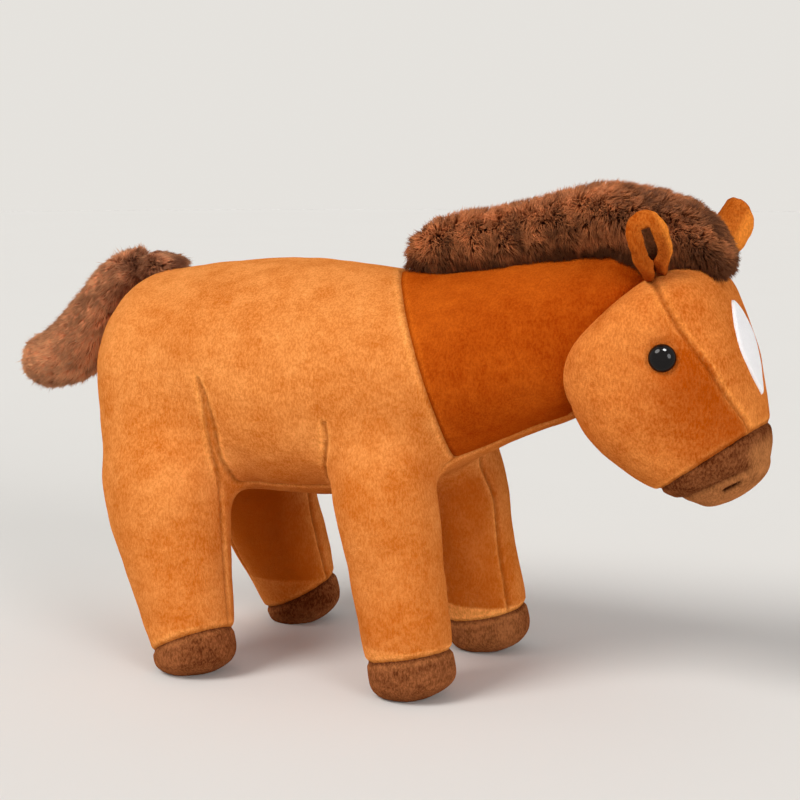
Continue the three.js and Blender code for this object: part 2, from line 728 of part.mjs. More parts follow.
for (const { sideName, group, rod } of ears) {
  const place = group.matrixWorld;
  const cup = ear.cup[sideName];
  const halfWall = ear.wall / 2;
  const back = leafLayer(-halfWall, halfWall, 0, cup, place).subtract(headClear).add(rod(0));
  const liningStart = halfWall + seamGap;
  const clearOfBack = leafLayer(-halfWall, liningStart, 0, cup, place);
  const lining = leafLayer(halfWall, liningStart + ear.lining, ear.edge, cup, place)
    .subtract(clearOfBack)
    .subtract(headClear);
  addPiece(`ear_${sideName}_back`, back, tanPlush, group);
  addPiece(`ear_${sideName}_lining`, lining, earLiningPlush, group);
}

// The origin goes under the middle of the box around the whole horse.
horse.updateMatrixWorld(true);
const box = new THREE.Box3().setFromObject(horse);
const middle = box.getCenter(new THREE.Vector3());
horse.position.set(-middle.x, -middle.y, -box.min.z);

export default horse;
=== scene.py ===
"""Plush horse: a sewn and stuffed toy with a long-pile mane and tail, dressed around its CAD model.

Metres, in the CAD model's frame: +X to the nose, +Y to the horse's left, +Z up, feet on Z = 0.
"""

import json
import math

import bmesh
import bpy
import numpy as np
from bpy.props import FloatProperty, FloatVectorProperty, IntProperty, PointerProperty
from mathutils import Matrix, Vector
from mathutils.bvhtree import BVHTree
from mathutils.kdtree import KDTree
from mathutils.noise import noise


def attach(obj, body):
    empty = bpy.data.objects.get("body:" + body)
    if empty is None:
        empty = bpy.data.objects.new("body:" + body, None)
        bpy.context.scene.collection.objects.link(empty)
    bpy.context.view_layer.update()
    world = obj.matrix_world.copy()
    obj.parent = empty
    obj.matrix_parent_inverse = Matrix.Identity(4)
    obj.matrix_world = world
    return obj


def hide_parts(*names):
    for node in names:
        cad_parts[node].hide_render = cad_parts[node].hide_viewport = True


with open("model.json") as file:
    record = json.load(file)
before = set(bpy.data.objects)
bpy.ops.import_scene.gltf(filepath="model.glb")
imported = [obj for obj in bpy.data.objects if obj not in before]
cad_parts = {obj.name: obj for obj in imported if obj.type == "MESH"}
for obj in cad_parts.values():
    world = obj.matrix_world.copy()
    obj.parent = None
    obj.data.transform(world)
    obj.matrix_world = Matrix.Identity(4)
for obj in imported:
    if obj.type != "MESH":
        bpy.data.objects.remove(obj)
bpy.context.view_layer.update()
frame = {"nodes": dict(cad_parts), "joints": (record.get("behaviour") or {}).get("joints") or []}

bl_info = {
    "name": "Plush horse",
    "version": (1, 0, 0),
    "blender": (4, 5, 0),
    "location": "View3D > Sidebar > Plush horse",
    "description": "Builds a stuffed plush horse with a fur mane and tail around its CAD model",
    "category": "Object",
}

# The pattern, in millimetres from the middle of the wheelbase.
# Each station of a form is x, z, up, down, wide and lean, as in the CAD model.
ORIGIN_X = 24.715  # from the middle of the wheelbase back to the frame's origin
AXIS_HEIGHT = 183
TRUNK_STATIONS = [
    (-155, 0, 67, 69, 72, 0), (-109.5, 0, 74, 75, 76, 0), (-65.75, 0, 76, 76, 77, 0),
    (-20.25, 0, 74, 73, 76, 0), (20, 4, 68, 64, 72, 6), (61.6, 14, 61, 52, 63, 12),
    (103.2, 25, 57, 45, 54, 14), (150, 37, 52, 40, 46, 15),
]
HEAD_ORIGIN = (150, 0, 239)
HEAD_PITCH = 54.2
HEAD_STATIONS = [
    (26, -5, 60, 56, 57, 0), (55, -6.5, 55, 56, 56, 0), (80, -6.5, 46.5, 49, 49, 0),
    (100, -6.5, 38.5, 41, 42, 0), (113, -5.5, 30, 32, 35, 0), (121, -5, 22, 24, 27, 0),
]
HEAD_PILE = 1.2  # how far the head's cloth stands outside its form
MANE_STATIONS = [  # on the neck: share of its length, height, wide and lean
    (0.03, 22, 15, 9), (0.19, 33, 18, 8), (0.54, 35, 20, 12), (0.81, 38, 22, 8), (1, 40, 24, 5),
]
MANE_ON_HEAD = [(-3, 50, 25, 4), (8, 36, 24, 2), (16, 21, 19, -20)]
MANE_BURY = 8
NECK_START, NECK_LENGTH = 20, 130
TAIL_STATIONS = [
    (-13, 1, 11, 10, 11, 18), (-30, -11, 16, 15, 15, 38), (-50, -38, 19, 19, 19, 48),
    (-68, -60, 22, 22, 21, 38), (-88, -69, 19, 19, 19, 5),
]
KNOT_STATIONS = [(-4, 0, 7.4, 7.4, 7.4, 0), (0, 0, 8.6, 8.6, 8.6, 0), (4, 0, 7.4, 7.4, 7.4, 0)]
LEGS = {  # foot on the ground, degrees back and inward going up, and the stations
    "front": ((40, 60), 12, 4, [
        (12, 0, 28, 28, 27, 0), (32, 0, 29, 29, 28, 0), (75, 0, 30, 31, 30, 0),
        (120, 0, 32, 34, 32, 0), (165, 0, 29, 31, 22, 0)]),
    "hind": ((-106, 75), 15, 11, [
        (12, 0, 28, 28, 27, 0), (32, 0, 30, 29, 29, 0), (75, 0, 39, 33, 34, 0),
        (125, 0, 48, 40, 38, 0), (172, 0, 40, 40, 26, 0)]),
}
SIDES = {"right": -1, "left": 1}
HOOF_HEIGHT = 26
HIND_HOOF_SHIFT, HIND_HOOF_TILT = (28, 0, 7.5), -9  # of the hind hooves' seams, at the toe
NECK_SEAM = (2, 0, 255)
NECK_SEAM_ANGLE = 19
GUSSET = ((-260, 38), (30, 38), (61, 24), (150, 10))  # x and half width of the belly panel
FOREHEAD_SEAM = (
    (-20, 38), (5, 43), (18, 47), (33, 47.5), (48, 45), (67, 40), (82, 35), (96, 27), (105, 23),
)
MUZZLE_X = 104
MOUTH = (118.5, 8)  # along the head, and degrees that the seam leans
MOUTH_STITCH = [(218, -26, 135.5), (221.5, -25, 138), (225, -23, 140.5)]
EYE = (42.5, 11.5, 8.0, 5.5, 1.2)  # x, z, radius, rise, sink
EYE_STEM = [(1.2, -13), (1.9, -12.6), (2.4, -11.6), (2.4, -0.8), (6.6, -0.5), (7.7, -0.2)]
EAR_HEIGHT, EAR_HALF_WIDTH, EAR_FACING = 45, 20, 58
EARS = {  # lean, forward, curl, rolled edge, and how far the base creeps over the head
    "right": (38, -2, 9.8, 5.2, (-2.4, 1.4, 3.8)),
    "left": (24, 22, 12.4, 2.8, (-4, 0, 3)),
}
BLAZE = (33, 55, 14.5, -1.5)  # start, length and half width on the forehead, and its middle's y

# Seams on the horse's right, as routes over the cloth. The left side mirrors them.
LEG_SEAMS = [
    [(-103, -75, 188), (-100, -75, 175), (-99, -70, 155), (-100, -58, 128), (-96, -58, 96),
     (-93, -60, 71), (-88, -64, 47), (-85, -67, 29)],
    [(-103, -75, 188), (-97, -75, 175), (-94, -71, 156), (-95, -57, 133), (-88, -42, 114),
     (-60, -38, 116), (-28, -42, 118), (-21, -58, 137), (-17, -69, 155), (-17, -73, 165)],
    [(-28, -42, 118), (-6, -37, 100), (3, -38, 60), (11, -41, 29)],
    [(58, -44, 29), (52, -43, 71), (48, -41, 104), (40, -34, 130), (61, -24, 145),
     (90, -19.5, 158), (125, -14, 174)],
    [(-196, -38, 160), (-186, -38, 135), (-158, -31, 100), (-145, -40, 60), (-137, -48, 29)],
]

# From here on lengths are metres, as in the frame.
BELLY_TOP, NECK_LOW = 0.185, 0.12  # highest place of the belly panel, lowest of the neck panels
NECK_SEAM_LOW = 0.18  # below this the neck's seams stop at the belly panel
NECK_REACH = (-0.02, 0.14)  # where along the horse the neck's seams lie
HOOF_CUT, HOOF_REACH, HOOF_TOP = 0.06, 0.07, 0.034  # widths about a foot, and the hoof's height
HEAD_START, OVERLAP = 0.11, 0.004  # cloth this far forward and this deep in its neighbour goes
BODY_TIGHT, HEAD_TIGHT, HOOF_TIGHT, FUR_TIGHT = 0.75, 0.8, 0.7, 0.6  # from 0, slack, to 1, tight
FILLET_ROUNDS = 60
REAR_FULLNESS = 0.007  # how far the rump stands out where the hind legs join it
FILL_DEPTH, FILL_GRID = 0.005, 0.005
HOLLOW = (0.0006, 0.007)  # depth and half width of the shallow hollow about each seam
STITCH_WIDTH = 0.0012  # half width of the dark line in a seam
RAISED_NAP = (0.26, 0.0028, 0.0014)  # paleness beside a seam, its distance and half width
MOUTH_DEPTH, MOUTH_WIDTH = 0.0011, 0.0013
SLIT_DEPTH, SLIT_WIDTH = 0.0018, 0.0014
EYE_SOCKET = (0.0022, 0.0075, 0.0035)  # depth, radius and half width of the ring about an eye
CREASE_REACH, NECK_CREASE, HEAD_CREASE = 0.003, 0.0016, 0.0012  # where head and neck meet
BLAZE_DOME, BLAZE_SINK, BLAZE_UNDER = 0.0021, 0.0004, 0.0009
BULGES = ((0.045, 0.0, 0.0014), (0.014, 7.0, 0.0005))  # size, seed and height of the lumps
FIBRE_LUMPS = ((0.01, 0.0, 0.0006),)
EAR_CREASES = ((0.009, 2.0, 0.0007), (0.0035, 4.0, 0.0004))
MANE_INSET, TAIL_INSET = -8.5, -3.6  # millimetres from the fur's outside in to its core
ROOT_TONE = 0.06  # shade of the cloth under the fur, on the hairs' scale from root to tip
LOCK_SIZE, LOCK_SHARE = 0.010, 0.06  # width of a lock, and the share of hairs that lead one
LOCK_PULL, MIDDLE_PULL = (0.3, 0.65), 0.35  # how far hairs' tips and middles go to their lead
HAIR_LENGTHS, HAIR_WIDTHS = (0.7, 1.12), (0.7, 1.2)  # as shares of the pile and the width
HAIR_LOWER, HAIR_UPPER = 0.55, 0.5  # a hair's two parts, as shares of its length
HAIR_SINK, HAIR_STRAY, MIDDLE_TRIM = 0.0008, 0.0008, 0.0012
LOCK_TONE = 0.55  # how much of a hair's shade it has from its lock
KNOT_HAIRS, KNOT_HEIGHT = 6500, 0.0105

PLUSH_NAP = (  # patch size, detail, stretch, roughness, darkest, palest and weight
    (0.036, 3.0, None, 0.5, 0.38, 0.62, 0.34),
    (0.0085, 2.0, (1, 1, 1.6), 0.5, 0.36, 0.64, 0.22),
    (0.0027, 1.0, (1.3, 1.3, 0.7), 0.6, 0.4, 0.62, 0.15),
    (0.0013, 1.0, (1.2, 1.2, 0.6), 0.7, 0.4, 0.6, 0.35),
)
SHADE_AND_NAP_TINT = (0.75, 0.58, 0.25)  # of the deep colour, for painted shade and darker-lying nap where the shade attribute is positive
LIGHT_TINTS = ((0.8, 0.9, 0.8), (1.75, 2.0, 1.9))  # of the colour, for painted light and rubbed-pale nap where the shade attribute is negative

SUNS = {  # strength, degrees across, colour and direction
    "Window": (2.1, 28, (1.0, 0.97, 0.93), (0.45, 0.72, -0.85)),
    "Fill": (1.35, 26, (1.0, 1.0, 1.0), (-1.15, 0.75, -0.42)),
}
GLINT_PLACE, GLINT_AIM = (0.55, -0.55, 1.25), (0.25, -0.04, 0.2)
FLOOR_RINGS = (0, 0.6, 1.5, 6.0)
LENS, CAMERA_TURN, CAMERA_RISE = 85.5, 25.5, 8.5
CAMERA_TARGET, CAMERA_DISTANCE = (0.024715, 0, 0.171), 1.195


def metres(points):
    """Pattern millimetres to metres in the CAD frame."""
    return (np.asarray(points, float) + (ORIGIN_X, 0, 0)) / 1000


def pattern(points):
    """Metres in the CAD frame to pattern millimetres."""
    return np.asarray(points, float) * 1000 - (ORIGIN_X, 0, 0)


def unit(values):
    """The values, held between 0 and 1."""
    return np.clip(values, 0, 1)


def bell(distance, width):
    """1 at no distance, falling off smoothly over the width."""
    return np.exp(-(distance / width) ** 2)


def spline(knots, t):
    """Points of a Catmull-Rom curve through the knots, for t from 0 to 1."""
    last = len(knots) - 1
    padded = np.vstack([2 * knots[0] - knots[1], knots, 2 * knots[-1] - knots[-2]])
    at = np.clip(t, 0, 1) * last
    k = np.minimum(at.astype(int), last - 1)
    w = (at - k)[..., None]
    p0, p1, p2, p3 = (padded[k + i] for i in range(4))
    leave, arrive = (p2 - p0) / 2, (p3 - p1) / 2
    return (p1 + leave * w + (3 * (p2 - p1) - 2 * leave - arrive) * w ** 2
            + (2 * (p1 - p2) + leave + arrive) * w ** 3)


class StuffedForm:
    """An oval tube lofted through its stations, with a domed cap at each end."""

    def __init__(self, stations, start_cap, end_cap, bluntness=2.0, squareness=2.0, place=None):
        table = np.array(stations, float)
        self.middle, self.size = table[:, [0, 1, 5]], table[:, 2:5]
        self.start_cap, self.end_cap = start_cap, end_cap
        self.bluntness, self.squareness = bluntness, squareness
        self.place = Matrix.Identity(4) if place is None else place

    def surface(self, t, angle, grow=0.0):
        """Points on the form in metres, at t along it and an angle round it."""
        t, angle = np.broadcast_arrays(np.asarray(t, float), np.asarray(angle, float))
        inside = np.clip(t, 0, 1)
        x, z, lean = np.moveaxis(spline(self.middle, inside), -1, 0)
        up, down, wide = np.moveaxis(spline(self.size, inside) + grow, -1, 0)
        lean = np.radians(lean)
        advance = np.sin(np.minimum(np.abs(t - inside), 1) * np.pi / 2)
        cap = np.where(t < 0, -(self.start_cap + grow), self.end_cap + grow) * advance
        blunt = np.where(t < 0, self.bluntness, 2.0)
        shrink = np.maximum(0, 1 - advance ** blunt) ** (1 / blunt)
        power = 2 / self.squareness
        side, high = np.cos(angle), np.sin(angle)
        side = np.sign(side) * np.abs(side) ** power * wide * shrink
        high = np.sign(high) * np.abs(high) ** power * np.where(high > 0, up, down) * shrink
        points = np.stack([x + cap * np.cos(lean) - high * np.sin(lean), side,
                           z + cap * np.sin(lean) + high * np.cos(lean)], -1)
        turn = np.array(self.place)
        return metres(points @ turn[:3, :3].T + turn[:3, 3])

    def normal(self, t, angle, step=1e-3):
        """The outward direction at a point of the form."""
        here = self.surface(t, angle)
        ahead = self.surface(t + step, angle) - here
        turned = self.surface(t, angle + step) - here
        out = np.cross(turned, ahead)
        return out / np.linalg.norm(out)

    def place_along(self, x):
        """Where x along the form's own axis falls on its scale of t."""
        low, high = -1.0, 2.0
        for _ in range(40):
            t = (low + high) / 2
            inside = np.clip(t, 0, 1)
            middle, _, lean = spline(self.middle, np.array(inside))
            advance = math.sin(min(abs(t - inside), 1) * math.pi / 2)
            cap = -self.start_cap if t < 0 else self.end_cap
            middle += math.cos(math.radians(lean)) * advance * cap
            low, high = (t, high) if middle < x else (low, t)
        return (low + high) / 2

    def tube(self, rings, around, cap_rings, grow=0.0):
        """The closed surface as points and faces."""
        places = np.concatenate([np.arange(1 - cap_rings, 0) / cap_rings,
                                 np.linspace(0, 1, rings + 1),
                                 1 + np.arange(1, cap_rings) / cap_rings])
        angles = np.arange(around) / around * 2 * np.pi
        grid = self.surface(places[:, None], angles[None, :], grow).reshape(-1, 3)
        tips = self.surface(np.array([-1.0, 2.0]), np.zeros(2), grow)
        points = np.vstack([grid, tips])
        faces, first, last = [], len(grid), (len(places) - 1) * around
        for j in range(around):
            n = (j + 1) % around
            faces += [(a + j, a + n, a + around + n, a + around + j)
                      for a in range(0, last, around)]
            faces += [(first, n, j), (first + 1, last + j, last + n)]
        return points, faces


def head_matrix():
    return Matrix.Translation(HEAD_ORIGIN) @ Matrix.Rotation(math.radians(HEAD_PITCH), 4, "Y")


def leg_matrix(kind, side):
    """A leg's own frame: X up its axis, from the middle of its foot."""
    (x, y), back, inward, _ = LEGS[kind]
    axis = Vector((-math.tan(math.radians(back)), -side * math.tan(math.radians(inward)), 1))
    axis.normalize()
    forwards = Vector((0, 1, 0)).cross(axis).normalized()
    across = -forwards.cross(axis)
    turn = Matrix((axis, across, -forwards)).transposed().to_4x4()
    return Matrix.Translation((x, side * y, 0)) @ turn


TRUNK = StuffedForm(TRUNK_STATIONS, 50, 34, bluntness=2.4,
                    place=Matrix.Translation((0, 0, AXIS_HEIGHT)))
HEAD = StuffedForm(HEAD_STATIONS, 31, 9, bluntness=2.8, squareness=2.5, place=head_matrix())


def leg_form(kind, side):
    return StuffedForm(LEGS[kind][3], 15, 16, place=leg_matrix(kind, side))


def ridge_station(form, x, height, wide, lean):
    """A station of the mane, standing on the ridge of the form that carries it."""
    foot = pattern(form.surface(form.place_along(x), np.array(np.pi / 2)))
    tip = math.radians(lean)
    half = (height + MANE_BURY) / 2
    middle = foot + np.array((-math.sin(tip), 0, math.cos(tip))) * (half - MANE_BURY)
    return middle[0], middle[2], half, half, wide, lean


def mane_form():
    stations = [ridge_station(TRUNK, NECK_START + NECK_LENGTH * share, *rest)
                for share, *rest in MANE_STATIONS]
    stations += [ridge_station(HEAD, *station) for station in MANE_ON_HEAD]
    return StuffedForm(stations, 10, 10)


def tail_form():
    x, _, z = joint("tail_lift")["pos_m"]
    stations = [(*station, lean + 180) for *station, lean in TAIL_STATIONS]
    return StuffedForm(stations, 6, 20, place=Matrix.Translation(pattern((x, 0, z))))


def joint(name):
    return next(j for j in frame["joints"] if j["name"] == name)


# Meshes

def link_mesh(name, mesh):
    mesh.shade_smooth()
    piece = bpy.data.objects.new(name, mesh)
    bpy.context.scene.collection.objects.link(piece)
    return piece


def add_object(name, points, faces):
    mesh = bpy.data.meshes.new(name)
    mesh.from_pydata(np.asarray(points).tolist(), [], faces)
    return link_mesh(name, mesh)


def close_sheet(name, top, bottom, columns, merge=0.0):
    """A closed piece between two grids of points whose rows have this many faces."""
    row, below = columns + 1, len(top)
    rows = below // row - 1
    faces = []
    for i in range(rows):
        for a in range(i * row, i * row + columns):
            faces.append((a, a + 1, a + row + 1, a + row))
            faces.append((below + a, below + a + row, below + a + row + 1, below + a + 1))
        for a, b in ((i * row, i * row + row), (i * row + row + columns, i * row + columns)):
            faces.append((a, b, below + b, below + a))
    for a in range(columns):
        b = rows * row + a
        faces.append((a + 1, a, below + a, below + a + 1))
        faces.append((b, b + 1, below + b + 1, below + b))
    piece = add_object(name, top + bottom, faces)
    bm = bmesh.new()
    bm.from_mesh(piece.data)
    if merge:
        bmesh.ops.remove_doubles(bm, verts=bm.verts, dist=merge)
    bmesh.ops.recalc_face_normals(bm, faces=bm.faces)
    bm.to_mesh(piece.data)
    bm.free()
    piece.data.shade_smooth()
    return piece


def read(mesh, what="co", of="vertices"):
    """One vector for each vertex, or for each of the mesh's polygons."""
    items = getattr(mesh, of)
    values = np.empty(len(items) * 3, np.float32)
    items.foreach_get(what, values)
    return values.reshape(-1, 3).astype(float)


def write(mesh, points):
    mesh.vertices.foreach_set("co", np.asarray(points, np.float32).ravel())
    mesh.update()


def push_out(mesh, amount):
    """Moves the surface outwards, by one amount or by one for each vertex."""
    write(mesh, read(mesh) + read(mesh, "normal") * np.reshape(amount, (-1, 1)))


def apply_modifier(piece, kind, **settings):
    """Turns what a modifier makes of the piece into its mesh."""
    modifier = piece.modifiers.new(kind, kind)
    for key, value in settings.items():
        setattr(modifier, key, value)
    graph = bpy.context.evaluated_depsgraph_get()
    piece.data = bpy.data.meshes.new_from_object(piece.evaluated_get(graph))
    piece.modifiers.clear()
    piece.data.shade_smooth()


def smooth(mesh, weights, rounds):
    """Evens the vertices out towards their neighbours, by one weight or by one for each."""
    edges = np.empty(len(mesh.edges) * 2, np.int32)
    mesh.edges.foreach_get("vertices", edges)
    a, b = edges.reshape(-1, 2).T
    points = read(mesh)
    size = len(points)
    count = np.bincount(a, minlength=size) + np.bincount(b, minlength=size)
    for _ in range(rounds):
        total = np.stack([np.bincount(a, points[b, k], size) + np.bincount(b, points[a, k], size)
                          for k in range(3)], 1)
        points += (total / count[:, None] - points) * np.reshape(weights, (-1, 1))
    write(mesh, points)


def tree_of(points, faces):
    return BVHTree.FromPolygons(np.asarray(points).tolist(), faces)


def surface_tree(mesh):
    return tree_of(read(mesh), [tuple(p.vertices) for p in mesh.polygons])


def form_tree(form, grow=0.0):
    return tree_of(*form.tube(60, 64, 12, grow))


def signed_distance(tree, points):
    """How far each point is outside a closed surface, negative inside it."""
    out = np.empty(len(points))
    for i, p in enumerate(points.tolist()):
        near, normal, _, far = tree.find_nearest(p)
        out[i] = far if (Vector(p) - near).dot(normal) > 0 else -far
    return out


def nearest_distance(trees, points):
    """How far each point is outside the nearest of several closed surfaces."""
    return np.min([signed_distance(tree, points) for tree in trees], axis=0)


def nearest(targets, points):
    """For each point, which of the targets is nearest to it, and how far."""
    tree = KDTree(len(targets))
    for i, p in enumerate(targets.tolist()):
        tree.insert(p, i)
    tree.balance()
    found = np.array([tree.find(p)[1:] for p in points.tolist()])
    return found[:, 0].astype(int), found[:, 1]


def beyond(points, plane):
    """How far each point is past a plane, given as a point and a normal."""
    point, normal = (np.array(v) for v in plane)
    return (points - point) @ normal


def crossing(form, angles, reach, plane):
    """Where a plane crosses a form, on its lines at these angles and within a reach along it."""
    t = np.linspace(*reach)
    lines = (form.surface(t, np.full(len(t), angle)) for angle in angles)
    return np.array([line[np.abs(beyond(line, plane)).argmin()] for line in lines])


def draw_route(knots, tree, step=0.0008):
    """Points close together along a smooth route, dropped onto a surface."""
    knots = metres(knots)
    length = np.linalg.norm(np.diff(knots, axis=0), axis=1).sum()
    line = spline(knots, np.linspace(0, 1, max(int(length / step), 4)))
    return np.array([tree.find_nearest(p)[0] for p in line.tolist()])


def set_attribute(mesh, name, values):
    layer = mesh.attributes.get(name) or mesh.attributes.new(name, "FLOAT", "POINT")
    layer.data.foreach_set("value", np.asarray(values, np.float32))


def lumps(points, size, seed=0.0):
    scale = 1 / size
    return np.array([noise(Vector((x * scale + seed, y * scale, z * scale)))
                     for x, y, z in points.tolist()])


def relief(mesh, layers):
    """Lumps of several sizes, added up."""
    points = read(mesh)
    return sum(lumps(points, size, seed) * height for size, seed, height in layers)


def inflate(piece, pressure, limit, pinned):
    """Stuffs a closed cloth skin by air pressure, and keeps each point within a limit."""
    before = read(piece.data)
    group = piece.vertex_groups.new(name="stitched")
    group.add(np.flatnonzero(pinned).tolist(), 1.0, "REPLACE")
    modifier = piece.modifiers.new("Stuffing pressure", "CLOTH")
    cloth = modifier.settings
    cloth.use_pressure, cloth.uniform_pressure_force = True, pressure
    cloth.effector_weights.gravity = 0
    cloth.vertex_group_mass = group.name
    modifier.collision_settings.use_collision = False
    modifier.point_cache.frame_start, modifier.point_cache.frame_end = 1, 20
    scene = bpy.context.scene
    for frame_number in range(1, 21):
        scene.frame_set(frame_number)
    graph = bpy.context.evaluated_depsgraph_get()
    swollen = read(piece.evaluated_get(graph).data)
    piece.modifiers.clear()
    piece.vertex_groups.clear()
    scene.frame_set(1)
    move = swollen - before
    far = np.linalg.norm(move, axis=1, keepdims=True)
    write(piece.data, before + move * np.minimum(1, limit / np.maximum(far, 1e-9)))


def cut(mesh, planes):
    """Cuts the mesh along planes. Each is a point, a normal and a test of the faces it reaches."""
    bm = bmesh.new()
    bm.from_mesh(mesh)
    for point, normal, reached in planes:
        faces = [f for f in bm.faces if reached(f.calc_center_median())]
        edges = {e for f in faces for e in f.edges}
        corners = {v for f in faces for v in f.verts}
        bmesh.ops.bisect_plane(bm, geom=[*corners, *edges, *faces], dist=1e-5,
                               plane_co=point, plane_no=normal)
    bm.to_mesh(mesh)
    bm.free()


def mark_panels(mesh, panels):
    layer = mesh.attributes.new("panel", "INT", "FACE")
    layer.data.foreach_set("value", panels.astype(np.int32))


def take_panel(source, name, number):
    """A new piece with the faces of the source that are marked with a panel's number."""
    bm = bmesh.new()
    bm.from_mesh(source.data)
    layer = bm.faces.layers.int["panel"]
    bmesh.ops.delete(bm, geom=[f for f in bm.faces if f[layer] != number], context="FACES")
    mesh = bpy.data.meshes.new(name)
    bm.to_mesh(mesh)
    bm.free()
    return link_mesh(name, mesh)


def dress(piece, material):
    piece.data.materials.clear()
    piece.data.materials.append(material)


def finish_piece(piece, body, nodes, slot, material, fill=None):
    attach(piece, body)
    if nodes:
        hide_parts(*nodes)
    dress(piece, material)


def finish_panels(skin, covers):
    """Takes a skin apart into its covers, each with its nodes, slot, material and fill. The slot
    and the fill are not used.
    """
    for number, (name, *finish) in enumerate(covers):
        finish_piece(take_panel(skin, name, number), "horse", *finish)
    bpy.data.objects.remove(skin)


# Materials

class Nodes:
    """The node tree of a material or a world, under construction."""

    def __init__(self, owner, kind="Material"):
        owner.use_nodes = True
        self.owner, self.tree = owner, owner.node_tree
        self.tree.nodes.clear()
        self.output = self.add("Output" + kind)

    def add(self, kind, inputs=None, **settings):
        node = self.tree.nodes.new("ShaderNode" + kind)
        for key, value in settings.items():
            setattr(node, key, value)
        for key, value in (inputs or {}).items():
            if isinstance(value, bpy.types.NodeSocket):
                self.tree.links.new(value, node.inputs[key])
            else:
                node.inputs[key].default_value = value
        return node

    def finish(self, shader):
        self.tree.links.new(shader.outputs[0], self.output.inputs["Surface"])
        return self.owner

    def place(self):
        return self.add("TexCoord").outputs["Object"]

    def noise(self, place, size, detail=2.0, stretch=None, roughness=0.5):
        """Noise from 0 to 1 with patches of this size in metres."""
        if stretch:
            place = self.add("Mapping", {"Vector": place, "Scale": stretch}).outputs[0]
        inputs = {"Vector": place, "Scale": 1 / size, "Detail": detail, "Roughness": roughness}
        return self.add("TexNoise", inputs).outputs["Fac"]

    def math(self, operation, a, b, clamp=False):
        return self.add("Math", {0: a, 1: b}, operation=operation, use_clamp=clamp).outputs[0]

    def spread(self, value, low, high):
        """Stretches a value so that low becomes 0 and high becomes 1."""
        inputs = {"Value": value, "From Min": low, "From Max": high}
        return self.add("MapRange", inputs, clamp=True).outputs[0]

    def mix(self, factor, a, b):
        return self.add("Mix", {0: factor, 6: a, 7: b}, data_type="RGBA").outputs[2]

    def attribute(self, name):
        return self.add("Attribute", attribute_name=name).outputs["Fac"]

    def surface(self, colour, height=None, bump=0.5, depth=0.001, **sockets):
        """The finished material, with a bump where it has a height."""
        inputs = {"Base Color": colour}
        inputs.update((key.replace("_", " "), value) for key, value in sockets.items())
        if height is not None:
            bumped = self.add("Bump", {"Strength": bump, "Distance": depth, "Height": height})
            inputs["Normal"] = bumped.outputs[0]
        return self.finish(self.add("BsdfPrincipled", inputs))


def rgba(colour, gain=1.0):
    return (*(min(c * gain, 1.0) for c in colour), 1.0)


def tinted(colour, tint):
    return (*(c * t for c, t in zip(colour, tint)), 1.0)


def plush_material(name, colour, deep, contrast=1.0, sheen=0.3):
    """Short-pile plush: brushed patches, a fine grain and darker seam lines; the shade attribute
    adds painted shade and darker nap, and where negative, painted light and rubbed-pale nap.
    """
    nodes = Nodes(bpy.data.materials.new(name))
    place = nodes.place()
    tint = 0.5 - contrast * sum(layer[-1] for layer in PLUSH_NAP) / 2
    for size, detail, stretch, roughness, low, high, weight in PLUSH_NAP:
        grain = nodes.noise(place, size, detail, stretch, roughness)
        patches = nodes.spread(grain, low, high)
        tint = nodes.math("ADD", tint, nodes.math("MULTIPLY", patches, weight * contrast))
    # Painted shade: a positive shade attribute darkens the cloth towards the deep colour.
    shade = nodes.attribute("shade")
    tint = nodes.math("SUBTRACT", tint, nodes.math("MULTIPLY", shade, 0.35), clamp=True)
    cloth = nodes.mix(tint, rgba(deep), rgba(colour))
    dark = nodes.math("MULTIPLY", shade, 0.88, clamp=True)
    cloth = nodes.mix(dark, cloth, tinted(deep, SHADE_AND_NAP_TINT))
    # Painted light, with rubbed-pale nap, where the shade attribute is negative.
    light = nodes.math("MULTIPLY", shade, -1.0, clamp=True)
    rubbed_and_lit = nodes.mix(tint, *(tinted(colour, gain) for gain in LIGHT_TINTS))
    cloth = nodes.mix(light, cloth, rubbed_and_lit)
    stitched = nodes.math("MULTIPLY", nodes.attribute("seam"), 0.55, clamp=True)
    cloth = nodes.mix(stitched, cloth, rgba(deep, 0.4))
    height = nodes.math("ADD", nodes.math("MULTIPLY", grain, 0.8),
                        nodes.noise(place, 0.0006, 1.0))
    return nodes.surface(cloth, height, 0.7, 0.0012, Roughness=0.95, Specular_IOR_Level=0.0,
                         Sheen_Weight=sheen, Sheen_Roughness=0.4, Sheen_Tint=rgba(colour, 1.1))


def fur_material(name, root, middle, tip):
    """Long pile: dark at the root, lighter at the tip, with lighter and darker locks."""
    nodes = Nodes(bpy.data.materials.new(name))
    along = nodes.attribute("along")
    lock = nodes.math("ADD", nodes.spread(nodes.noise(nodes.place(), 0.018, 3.0), 0.34, 0.66),
                      nodes.math("MULTIPLY", nodes.attribute("strand"), 1.1))
    lock = nodes.spread(lock, 0.3, 1.9)
    body = nodes.mix(lock, rgba(middle, 0.35), rgba(middle, 1.5))
    ends = nodes.mix(lock, rgba(tip, 0.22), rgba(tip, 1.45))
    colour = nodes.mix(nodes.spread(along, 0.0, 0.35), rgba(root), body)
    colour = nodes.mix(nodes.spread(along, 0.35, 1.0), colour, ends)
    return nodes.surface(colour, Roughness=0.6, Specular_IOR_Level=0.12, Sheen_Weight=0.2,
                         Sheen_Roughness=0.4, Sheen_Tint=rgba(tip, 1.3))


def plastic_material(name, colour, roughness, shine):
    """Moulded plastic with faint flow marks."""
    nodes = Nodes(bpy.data.materials.new(name))
    flow = nodes.noise(nodes.place(), 0.004, 3.0)
    tint = nodes.mix(flow, rgba(colour, 0.85), rgba(colour, 1.15))
    return nodes.surface(tint, flow, 0.02, 0.0002, Roughness=roughness, Specular_IOR_Level=shine)


